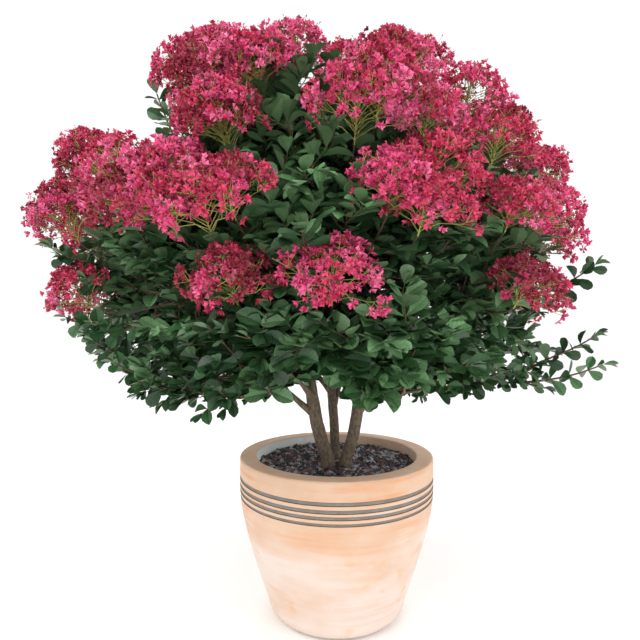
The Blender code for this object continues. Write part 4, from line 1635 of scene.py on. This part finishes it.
@dataclass
class Foliage:
    """The twigs and leaves of the crown."""

    plan: GrowthPlan
    leaf_length: float = 0.0385
    leaf_sizes: Pair = (0.85, 1.15)
    # A leaf one unit long: its edge as (along, half its width), and where its crown lies on the midrib
    leaf_edge: tuple = ((0.15, 0.08), (0.38, 0.225), (0.63, 0.32), (0.85, 0.285), (0.965, 0.135))
    leaf_middle: float = 0.56
    leaf_forms: tuple = ((0.34, 0.16, 0.1), (0.58, 0.34, -0.14), (0.22, -0.08, 0.2))  # fold, droop, twist
    # Pairs along a twig: their step, where the first sits in it, their roll, spread and rise
    pair_step: float = 0.014
    pair_start: float = 0.4
    pair_roll: float = 24
    upright_from: float = 0.8
    leaf_spread: Pair = (48.0, 74.0)
    leaf_rise: Pair = (-0.1, 0.22)
    # Leaves swell from the twig's foot to their largest, and shrink again: least, gain, how early
    swell: Triple = (0.78, 0.3, 1.15)
    # What a leaf faces: shares of up, of outwards and of chance
    facing: Triple = (0.75, 0.65, 0.4)
    standing_up: float = 0.2
    standing_chance: float = 0.9
    tip_leaves: int = 3
    tip_chance: float = 0.45
    tip_sizes: Pair = (0.55, 0.85)
    tip_out: float = 0.6
    twig_step: float = 0.023
    twig_jitter: Pair = (0.3, 0.7)
    turn_jitter: float = 0.3
    twig_length: float = 0.086
    twig_lengths: Pair = (0.65, 1.15)
    twig_shrink: float = 0.45
    twig_spread: Pair = (38.0, 62.0)
    twig_lift: float = 0.12
    cut_back: float = 0.7
    cuts: int = 3
    twig_bend: tuple[float, float, float, float] = (0.12, 0.06, 0.4, 0.25)  # out, up, leave, arrive
    twig_points: int = 5
    twig_bare: float = 0.22
    leafy_stretch: Pair = (0.26, 0.97)
    bare_from: float = 0.5  # where a stray shoot stops branching and bears leaves only
    blooming_stretch: Pair = (0.22, 0.84)
    # Leaves on the shoot itself: start and run of their stretch as shares of where its twigs end
    own_stretch: Pair = (0.55, 0.45)
    own_points: int = 8
    own_blooming: int = 5
    own_bare: float = 0.1
    own_scale: float = 1.05
    own_tint: float = 0.9
    hem_stretch: Pair = (0.4, 1.0)
    hem_step: float = 0.015
    hem_drop: float = -0.45
    clear_below: float = 0.012
    stray_scale: float = 0.86
    stray_points: int = 10
    # Sprays below low_below, under the crown: smaller leaves, and the deepest green more often, which is
    # painted shade
    low_scale: float = 0.8
    low_painted_shade_share: float = 0.55
    low_below: float = 0.585
    other_scales: tuple = ((Habit.STRAYING, 0.8), (Habit.YOUNG, 1.18))  # of leaves; 1 for the rest
    tip_run: float = 0.06
    tip_steps: int = 4
    tip_lift: float = 0.05
    stand_out: float = 0.03
    woody_radii: Pair = (0.003, 0.0013)
    green_radii: Pair = (0.0011, 0.0006)
    fresh_share: float = 0.27
    fresh_rise: Pair = (0.4, 1.2)
    deep_share: float = 0.4
    woody: Strands = field(default_factory=Strands)
    green: Strands = field(default_factory=Strands)
    leaves: dict[LeafTint, Places] = field(default_factory=lambda: {tint: Places() for tint in LeafTint})

    def leaf_meshes(self) -> list[Mesh]:
        """Makes the forms of leaf, one unit long from the root at the origin along X.

        Returns:
            A mesh for each form.
        """
        middle = self.leaf_middle
        meshes = []
        for fold, droop, twist in self.leaf_forms:
            vertices = [(0.0, 0.0, 0.0), (1.0, 0.0, -droop), (middle, 0.0, -droop * middle * middle)]
            faces = []
            for side in (1, -1):
                first = len(vertices)
                for x, half in self.leaf_edge:
                    rise = half * (fold + side * twist * x)
                    vertices.append((x, side * half, rise - droop * x * x))
                rim = [0, *range(first, first + len(self.leaf_edge)), 1]
                for a, b in zip(rim, rim[1:]):
                    faces.append((2, b, a) if side > 0 else (2, a, b))
            mesh = new_mesh("leaf", vertices, faces)
            for line in mesh.edges:
                line.use_edge_sharp = set(line.vertices) in ({0, 2}, {1, 2})
            plan = mesh.uv_layers.new(name=LEAF_PLAN)
            for loop, corner in zip(mesh.loops, plan.data):
                x, y, _ = vertices[loop.vertex_index]
                corner.uv = (x, y + 0.5)
            meshes.append(mesh)
        return meshes

    def pick_tint(self, share: float, rng: Random) -> LeafTint:
        """Deals a green to a spray: the outermost sprays are the freshest.

        Args:
            share: How far out the spray stands, from 0 to 1.
            rng: The source of the draw.

        Returns:
            The green.
        """
        draw = rng.random()
        least, gain = self.fresh_rise
        if draw < self.fresh_share * (least + gain * share):
            return LeafTint.FRESH
        return LeafTint.DEEP if draw > 1 - self.deep_share else LeafTint.GREEN

    def pairs(
        self, route: Route, first: float, tint: LeafTint, out: Vector, scale: float, rng: Random,
        standing: bool = False,
    ) -> None:
        """Sets pairs of leaves along a twig, with a few small ones on its tip.

        Args:
            route: The twig's line.
            first: Where the first pair stands, as a share of the twig.
            tint: The spray's green.
            out: The way out of the crown.
            scale: Size of this spray's leaves.
            rng: The source of their unevenness.
            standing: Whether every second pair stands up and hangs.
        """
        count = max(1, round(route.length * (1 - first) * scale / self.pair_step))
        least, gain, early = self.swell
        up, outward, chance = self.facing
        for k in range(count):
            share = first + (1 - first) * (k + self.pair_start) / count
            spot, heading = route.at(share)
            upright = abs(heading.z) > self.upright_from
            across = heading.cross(out if upright else UP).normalized()
            turned_pair = k % 2 == 0 if standing else upright and k % 2
            roll = rng.uniform(-self.pair_roll, self.pair_roll) + (90 if turned_pair else 0)
            across = Quaternion(heading, math.radians(roll)) @ across
            grown = least + gain * math.sin(math.pi * min(1.0, share * early))
            for sign in (1, -1):
                angle = math.radians(rng.uniform(*self.leaf_spread))
                way = heading * math.cos(angle) + across * sign * math.sin(angle)
                way += UP * rng.uniform(*self.leaf_rise)
                facing = UP * up + out * outward + random_lean(rng) * chance
                if standing:
                    side = heading.cross(UP).normalized()
                    side *= 1 if side.y * out.y > 0 else -1
                    facing = side + UP * self.standing_up + random_lean(rng) * self.standing_chance
                size = self.leaf_length * scale * grown * rng.uniform(*self.leaf_sizes)
                self.leaf(spot, facing_turn(way, facing), size, tint, rng)
        spot, heading = route.at(1.0)
        for _ in range(self.tip_leaves):
            way = heading + random_lean(rng) * self.tip_chance
            size = self.leaf_length * scale * rng.uniform(*self.tip_sizes)
            self.leaf(spot, facing_turn(way, UP + out * self.tip_out), size, tint, rng)

    def leaf(self, spot: Vector, turn: Quaternion, size: float, tint: LeafTint, rng: Random) -> None:
        """Sets one leaf, unless it would hang in front of the stems.

        Args:
            spot: The leaf's root.
            turn: How it is turned.
            size: Its length.
            tint: Its green.
            rng: The source of its form.
        """
        form = rng.randrange(len(self.leaf_forms))
        if spot.z > self.plan.underside(spot) + self.clear_below:
            self.leaves[tint].add(spot, turn, size, form)

    def side_twig(
        self, route: Route, share: float, turn: float, rng: Random, lift: float, habit: Habit,
    ) -> None:
        """Grows one side twig with its leaves.

        Args:
            route: The shoot that it leaves.
            share: Where on the shoot.
            turn: Its turn round the shoot, in radians.
            rng: The source of its unevenness.
            lift: How far it turns up.
            habit: The habit of the shoot.
        """
        foot, heading = route.at(share)
        across = Quaternion(heading, turn) @ heading.orthogonal().normalized()
        angle = math.radians(rng.uniform(*self.twig_spread))
        way = (heading * math.cos(angle) + across * math.sin(angle) + UP * lift).normalized()
        length = self.twig_length * rng.uniform(*self.twig_lengths) * (1.0 - self.twig_shrink * share * share)
        for _ in range(self.cuts):
            tip = foot + way * length
            out = (tip - self.plan.heart).normalized()
            if (tip - self.plan.heart).length <= self.plan.reach(out) + self.stand_out - self.leaf_length:
                break
            length *= self.cut_back
        if tip.z < self.plan.underside(tip):
            return
        outward, up, leave, arrive = self.twig_bend
        bend = tip + (out * outward + UP * up) * length
        handles = foot + way * length * leave, bend - out * length * arrive
        path = interpolate_bezier(foot, *handles, bend, self.twig_points)
        self.green.add(path, *self.green_radii)
        tint = self.pick_tint(share, rng)
        # Low sprays, under the crown, take the deepest green more often: painted shade
        low = tip.z < self.low_below and habit is not Habit.YOUNG
        if habit is Habit.YOUNG:
            tint = LeafTint.FRESH
        elif low and rng.random() < self.low_painted_shade_share:
            tint = LeafTint.DEEP
        scale = self.low_scale if low else dict(self.other_scales).get(habit, 1.0)
        self.pairs(Route(path), self.twig_bare, tint, out, scale, rng)

    def side_twigs(
        self, route: Route, stretch: Pair, count: int, rng: Random, lift: float,
        habit: Habit = Habit.LEAFY,
    ) -> None:
        """Grows side twigs in a spiral along a stretch of a shoot.

        Args:
            route: The shoot.
            stretch: Where they start and end on it.
            count: How many there are.
            rng: The source of their unevenness.
            lift: How far they turn up.
            habit: The habit of the shoot.
        """
        first, last = stretch
        turn = rng.uniform(0, math.tau)
        for k in range(count):
            share = first + (last - first) * (k + rng.uniform(*self.twig_jitter)) / count
            turn += GOLDEN_TURN + rng.uniform(-self.turn_jitter, self.turn_jitter)
            self.side_twig(route, share, turn, rng, lift, habit)

    def shoot(self, wedge: Wedge, shoot: Shoot, rng: Random) -> list[Vector]:
        """Grows one shoot with its side twigs and leaves.

        Args:
            wedge: The wedge that bears it.
            shoot: The shoot.
            rng: The source of its unevenness.

        Returns:
            The shoot's path, whose end carries the flower head if it blooms.
        """
        path = self.plan.shoot_path(wedge, shoot, rng)
        blooms, strays = shoot.habit is Habit.BLOOMING, shoot.habit is Habit.STRAYING
        if not blooms:
            lean = (path[-1] - path[-2]).normalized()
            for _ in range(self.tip_steps):
                lean = (lean + UP * self.tip_lift).normalized()
                path.append(path[-1] + lean * self.tip_run / self.tip_steps)
        self.woody.add(path, *self.woody_radii)
        route = Route(path)
        first, last = self.blooming_stretch if blooms else self.leafy_stretch
        last = self.bare_from if strays else last
        count = max(3, round(route.length * (last - first) / self.twig_step))
        self.side_twigs(route, (first, last), count, rng, self.twig_lift, shoot.habit)
        out = shoot.direction
        if strays:
            steps = self.stray_points - 1
            stretch = [route.at(last + (1 - last) * k / steps)[0] for k in range(steps + 1)]
            self.pairs(Route(stretch), 0.0, self.pick_tint(0.0, rng), out, self.stray_scale, rng, True)
            return path
        start, run = self.own_stretch
        steps = self.own_points - 1
        stretch = [route.at(last * (start + run * k / steps))[0] for k in range(steps + 1)]
        if blooms:
            stretch = stretch[:self.own_blooming]
        tint = self.pick_tint(self.own_tint, rng)
        self.pairs(Route(stretch), self.own_bare, tint, out, self.own_scale, rng)
        return path

    def hem(self, bough: Limb, rng: Random) -> None:
        """Grows leafy side twigs along a low bough, so that the crown closes underneath.

        Args:
            bough: The bough.
            rng: The source of its unevenness.
        """
        route = Route(bough.points)
        first, last = self.hem_stretch
        count = round(route.length * (last - first) / self.hem_step)
        self.side_twigs(route, self.hem_stretch, count, rng, self.hem_drop)

    def build(self, shop: Workshop, nodes: Sequence[str]) -> None:
        """Builds the twigs and the leaves, a piece for each green.

        Args:
            shop: The workshop.
            nodes: The solids that they stand for.
        """
        for name, wires, sides, finish in (
            ("twigs_woody", self.woody, 5, WOODY_TWIG), ("twigs_green", self.green, 3, GREEN_TWIG),
        ):
            shop.grow(name, wires.mesh(name), shop.trees.tube, finish, "bark", nodes, Sides=sides)
        forms = shop.form_set("leaf", self.leaf_meshes())
        for tint, places in self.leaves.items():
            name = f"leaves_{tint.name.lower()}"
            mesh = places.mesh(name)
            shop.grow(name, mesh, shop.trees.scatter, tint.value, "foliage", nodes, Forms=forms)


@dataclass
class Blossom:
    """The flower heads: open clusters of crinkled petals on branching stalks."""

    head_radius: float = 0.0745
    head_height: float = 0.106
    head_centre: float = 0.3
    lowest_flower: float = 0.04
    axis_length: float = 0.08
    axis_steps: int = 4
    axis_waver: float = 0.002
    head_lift: float = 0.85
    body_reach: Pair = (0.72, 1.0)
    lobe_reach: Pair = (1.03, 1.14)
    lobes: tuple[int, int] = (6, 2)  # one branch in so many is a lobe, counted from this one
    dome: float = 2.1
    unevenness: float = 0.008
    branches: int = 27
    branch_turn: float = 0.25
    # Where the branches leave the axis: the lowest, the gain to the top one, the highest
    branch_feet: Triple = (0.04, 0.62, 0.95)
    # The bend of a branch: shares of straight on and of the axis, and the lengths of its handles
    branch_bend: tuple[float, float, float, float] = (0.55, 0.75, 0.38, 0.22)
    branch_points: int = 4
    flowers: tuple[int, int] = (8, 11)
    cluster_radius: float = 0.0175
    cluster_flatness: float = 0.6
    pedicels: tuple[int, int] = (3, 1)  # one flower in so many has its own stalk, counted from this one
    pedicel_feet: Pair = (0.55, 0.95)
    flower_radius: float = 0.0088
    flower_sizes: Pair = (0.82, 1.12)
    flower_chance: float = 0.55
    head_sizes: Pair = (0.82, 1.07)
    axis_radii: Pair = (0.0014, 0.0008)
    branch_radii: Pair = (0.0008, 0.0005)
    stalk_radii: Pair = (0.0005, 0.0004)
    bud_foot: float = 0.9
    bud_reach: Pair = (0.002, 0.008)
    bud_spread: float = 0.55
    bud_sizes: Pair = (0.0032, 0.0048)
    bud_girth: Pair = (0.34, 0.45)  # radius of its widest ring, and how high it lies
    bud_ends: Pair = (-0.2, 0.9)
    # Share of each tint among the heads, and among the branches that leave their head's tint
    head_tints: tuple[float, ...] = (0.31, 0.33, 0.22, 0.14)
    branch_tints: tuple[float, ...] = (0.3, 0.34, 0.22, 0.14)
    kept_tint: float = 0.42
    # A petal one unit long: its root, its outline, and how far each corner is crinkled
    petal_root: Triple = (0.04, 0.0, 0.0)
    petal_outline: tuple = ((0.44, 0.18), (0.88, 0.38), (0.8, 0.03), (0.98, -0.28), (0.46, -0.22))
    petal_crinkle: Pair = (-0.2, 0.24)
    petal_sizes: Pair = (0.8, 1.15)
    # Unevenness of a petal: its place in the ring in radians, its lift and its roll in degrees
    petal_play: Triple = (0.3, 24, 50)
    flower_forms: tuple = ((10, 6), (30, 5), (48, 6), (66, 5))  # lift of the petals in degrees, petals
    stalks: Strands = field(default_factory=Strands)
    buds: Places = field(default_factory=Places)
    petals: dict[PetalTint, Places] = field(default_factory=lambda: {tint: Places() for tint in PetalTint})

    def flower_meshes(self) -> list[Mesh]:
        """Makes the forms of flower: crinkled fan-shaped petals round Z, one unit in radius.

        Returns:
            A mesh for each form.
        """
        rng = Random(SEED)
        place, lean, roll = self.petal_play
        meshes = []
        for lift, petals in self.flower_forms:
            vertices, faces = [], []
            for petal in range(petals):
                angles = (
                    (math.tau * petal / petals + rng.uniform(-place, place), "Z"),
                    (-math.radians(lift + rng.uniform(-lean, lean)), "Y"),
                    (math.radians(rng.uniform(-roll, roll)), "X"),
                )
                turn, tilt, rolled = (Matrix.Rotation(angle, 4, axis) for angle, axis in angles)
                size = rng.uniform(*self.petal_sizes)
                first = len(vertices)
                points = [self.petal_root]
                points += [(x, y, rng.uniform(*self.petal_crinkle)) for x, y in self.petal_outline]
                vertices += [tuple(turn @ tilt @ rolled @ (Vector(point) * size)) for point in points]
                faces += [(first, first + k + 1, first + k) for k in range(1, len(self.petal_outline))]
            meshes.append(new_mesh("flower", vertices, faces))
        return meshes

    def bud_meshes(self) -> list[Mesh]:
        """Makes the bud: an eight-faced drop, one unit long along Z.

        Returns:
            Its one form.
        """
        low, high = self.bud_ends
        sides = [(1 + k, 1 + (k + 1) % 4) for k in range(4)]
        faces = [(0, b, a) for a, b in sides] + [(5, a, b) for a, b in sides]
        return [new_mesh("bud", [(0.0, 0.0, low), *ring(*self.bud_girth, 4), (0.0, 0.0, high)], faces)]

    def cluster(self, branch: Route, centre: Vector, tint: PetalTint, high: float, rng: Random) -> None:
        """Grows the flowers on the end of one branch.

        Args:
            branch: The branch.
            centre: The middle of the head.
            tint: The spray's colour.
            high: How far up the head the branch ends, from 0 to 1.
            rng: The source of its unevenness.
        """
        tip, _ = branch.at(1.0)
        out = (tip - centre).normalized()
        every, start = self.pedicels
        for k in range(rng.randint(*self.flowers)):
            foot, _ = branch.at(rng.uniform(*self.pedicel_feet))
            spread = random_lean(rng)
            spread -= out * spread.dot(out) * self.cluster_flatness
            spot = tip + spread * self.cluster_radius
            if k % every == start:
                self.stalks.add([foot, spot], *self.stalk_radii)
            axis = (spot - centre).normalized() + random_lean(rng) * self.flower_chance
            turn = axis.to_track_quat("Z", "Y") @ Quaternion((0, 0, 1), rng.uniform(0, math.tau))
            size = self.flower_radius * rng.uniform(*self.flower_sizes)
            self.petals[tint].add(spot, turn, size, rng.randrange(len(self.flower_forms)))
        for _ in range(1 + round(high)):
            spot = tip + out * rng.uniform(*self.bud_reach)
            spot += random_lean(rng) * self.cluster_radius * self.bud_spread
            foot, _ = branch.at(self.bud_foot)
            self.stalks.add([foot, spot], *self.stalk_radii)
            self.buds.add(spot, (spot - foot).to_track_quat("Z", "Y"), rng.uniform(*self.bud_sizes), 0)

    def head(self, path: Sequence[Vector], rng: Random) -> None:
        """Grows one flower head on the end of a shoot.

        Args:
            path: The shoot.
            rng: The source of its unevenness.
        """
        end = path[-1]
        lean = ((path[-1] - path[-2]).normalized() + UP * self.head_lift).normalized()
        size = rng.uniform(*self.head_sizes)
        across = lean.orthogonal().normalized()
        axis = [
            end + lean * self.axis_length * size * k / self.axis_steps
            + across * rng.uniform(-1, 1) * self.axis_waver
            for k in range(self.axis_steps + 1)
        ]
        axis[0] = end
        self.stalks.add(axis, *self.axis_radii)
        spine = Route(axis)
        centre = end + lean * self.head_height * self.head_centre * size
        main = rng.choices(list(PetalTint), self.head_tints)[0]
        every, start = self.lobes
        lowest, gain, highest = self.branch_feet
        straight, along, leave, arrive = self.branch_bend
        for k in range(self.branches):
            high = (k + 0.5) / self.branches
            angle = k * GOLDEN_TURN + rng.uniform(-self.branch_turn, self.branch_turn)
            turn = Quaternion(lean, angle) @ across
            reach = rng.uniform(*(self.lobe_reach if k % every == start else self.body_reach))
            wide = self.head_radius * size * math.sqrt(1 - high**self.dome) * reach
            rise = self.lowest_flower + (self.head_height - self.lowest_flower - self.cluster_radius) * high
            rise += rng.uniform(-1, 1) * self.unevenness
            tip = end + lean * rise * size + turn * (wide - self.flower_radius)
            foot, _ = spine.at(min(highest, lowest + gain * high))
            span = (tip - foot).length
            way = (tip - foot).normalized() * straight + lean * along
            handles = foot + way * span * leave, tip - lean * span * arrive
            line = interpolate_bezier(foot, *handles, tip, self.branch_points)
            self.stalks.add(line, *self.branch_radii)
            kept = rng.random() < self.kept_tint
            tint = main if kept else rng.choices(list(PetalTint), self.branch_tints)[0]
            self.cluster(Route(line), centre, tint, high, rng)

    def build(self, shop: Workshop, nodes: Sequence[str]) -> None:
        """Builds the stalks, the buds and the petals, a piece for each colour.

        Args:
            shop: The workshop.
            nodes: The solids that they stand for.
        """
        name = "flower_stalks"
        shop.grow(name, self.stalks.mesh(name), shop.trees.tube, FLOWER_STALK, "foliage", nodes, Sides=3)
        name, forms = "flower_buds", shop.form_set("bud", self.bud_meshes())
        shop.grow(name, self.buds.mesh(name), shop.trees.scatter, BUD, "blossom", nodes, Forms=forms)
        forms = shop.form_set("flower", self.flower_meshes())
        for tint, places in self.petals.items():
            name = f"petals_{tint.name.lower()}"
            sizes = {"Forms": forms, "Smooth": False}
            shop.grow(name, places.mesh(name), shop.trees.scatter, tint.value, "blossom", nodes, **sizes)


@dataclass
class Crown:
    """Everything above the boughs: its wedges grown out to leaf and blossom."""

    plan: GrowthPlan
    wedges: list[Wedge]
    boughs: list[Limb]
    foliage: Foliage
    blossom: Blossom = field(default_factory=Blossom)
    stem_radii: Pair = (0.0042, 0.003)

    def grow(self) -> None:
        """Grows every wedge, each from a seed of its own."""
        for number, wedge in enumerate(self.wedges):
            rng = Random(SEED * 1000 + number)
            stem = [wedge.tip + wedge.direction * self.plan.stem_length * share for share in (0.0, 0.5, 1.0)]
            self.foliage.woody.add(stem, *self.stem_radii)
            for shoot in wedge.shoots:
                path = self.foliage.shoot(wedge, shoot, rng)
                if shoot.habit is Habit.BLOOMING:
                    self.blossom.head(path, rng)
        rng = Random(SEED)
        for bough in self.boughs:
            if bough.name.startswith("skirt"):
                self.foliage.hem(bough, rng)

    def build(self, shop: Workshop) -> None:
        """Grows the crown and builds its pieces.

        Args:
            shop: The workshop.
        """
        self.grow()
        nodes = [wedge.node for wedge in self.wedges]
        self.foliage.build(shop, nodes)
        self.blossom.build(shop, nodes)


# ---- the studio


@dataclass
class Studio:
    """A pale floor, soft light and the camera."""

    camera_place: Triple = (-0.038, -1.2, 0.669)
    lens: float = 28.7
    floor_size: float = 30.0
    floor_colour: Colour = (0.985, 0.985, 0.985)
    floor_shade: float = 0.985
    floor_grain: float = 1.5
    floor_roughness: float = 0.9
    sky_colour: Colour = (1.0, 1.0, 1.0)
    sky_strength: float = 1.06
    # Light: name, place, size, power, colour
    lights: tuple = (
        ("key_light", (-1.6, -2.4, 3.0), 2.2, 56.0, (1.0, 0.985, 0.96)),
        ("fill_light", (2.4, -2.2, 1.4), 2.2, 26.0, (1.0, 0.99, 0.98)),
        ("back_light", (0.6, 2.8, 2.4), 2.4, 25.0, (1.0, 1.0, 1.0)),
    )
    aim: Triple = (0.0, 0.0, 0.7)

    def build(self) -> None:
        """Builds the floor, the sky, the lights and the camera."""
        scene = bpy.context.scene
        scene.view_settings.view_transform = "Standard"
        self.floor()
        self.sky(scene)
        for name, place, size, power, colour in self.lights:
            data = bpy.data.lights.new(name, "AREA")
            data.size, data.energy, data.color = size, power, colour
            light = bpy.data.objects.new(name, data)
            light.location = place
            light.rotation_euler = (Vector(place) - Vector(self.aim)).to_track_quat("Z", "Y").to_euler()
            scene.collection.objects.link(light)
        data = bpy.data.cameras.new("camera")
        data.lens = self.lens
        camera = bpy.data.objects.new("camera", data)
        camera.location = self.camera_place
        camera.rotation_euler = (math.radians(90), 0, 0)
        scene.collection.objects.link(camera)
        scene.camera = camera

    def floor(self) -> None:
        """Lays the floor, faintly uneven in tone."""
        half = self.floor_size / 2
        corners = [(x * half, y * half, 0) for x, y in ((-1, -1), (1, -1), (1, 1), (-1, 1))]
        mesh = new_mesh("floor", corners, [(0, 1, 2, 3)])
        material, sheet, shader = new_material("floor")
        place = sheet.node("ShaderNodeTexCoord").outputs["Object"]
        darker = tuple(c * self.floor_shade for c in self.floor_colour)
        tone = sheet.mix(sheet.noise(place, self.floor_grain), self.floor_colour, darker)
        sheet.tree.links.new(tone, shader.inputs["Base Color"])
        shader.inputs["Roughness"].default_value = self.floor_roughness
        mesh.materials.append(material)
        floor = bpy.data.objects.new("floor", mesh)
        bpy.context.scene.collection.objects.link(floor)

    def sky(self, scene: bpy.types.Scene) -> None:
        """Lights the scene evenly from all sides.

        Args:
            scene: The scene.
        """
        world = bpy.data.worlds.new("studio")
        world.use_nodes = True
        background = world.node_tree.nodes["Background"]
        background.inputs["Color"].default_value = (*self.sky_colour, 1.0)
        background.inputs["Strength"].default_value = self.sky_strength
        scene.world = world


def main() -> None:
    """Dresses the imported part, piece by piece."""
    logging.basicConfig(level=logging.INFO, format="%(message)s")
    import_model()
    where = bpy.data.collections.new("potted_crape_myrtle")
    bpy.context.scene.collection.children.link(where)
    shop = Workshop(where, ShaderEffects(), GrowTrees())
    pot = Pot()
    pot.build(shop)
    Mulch().build(shop, pot)
    plan = GrowthPlan()
    wedges = plan.wedges()
    leaders, boughs = plan.limbs(wedges)
    Timber().build(shop, leaders, boughs)
    Crown(plan, wedges, boughs, Foliage(plan)).build(shop)
    Studio().build()
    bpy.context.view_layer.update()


if __name__ == "__main__":
    main()
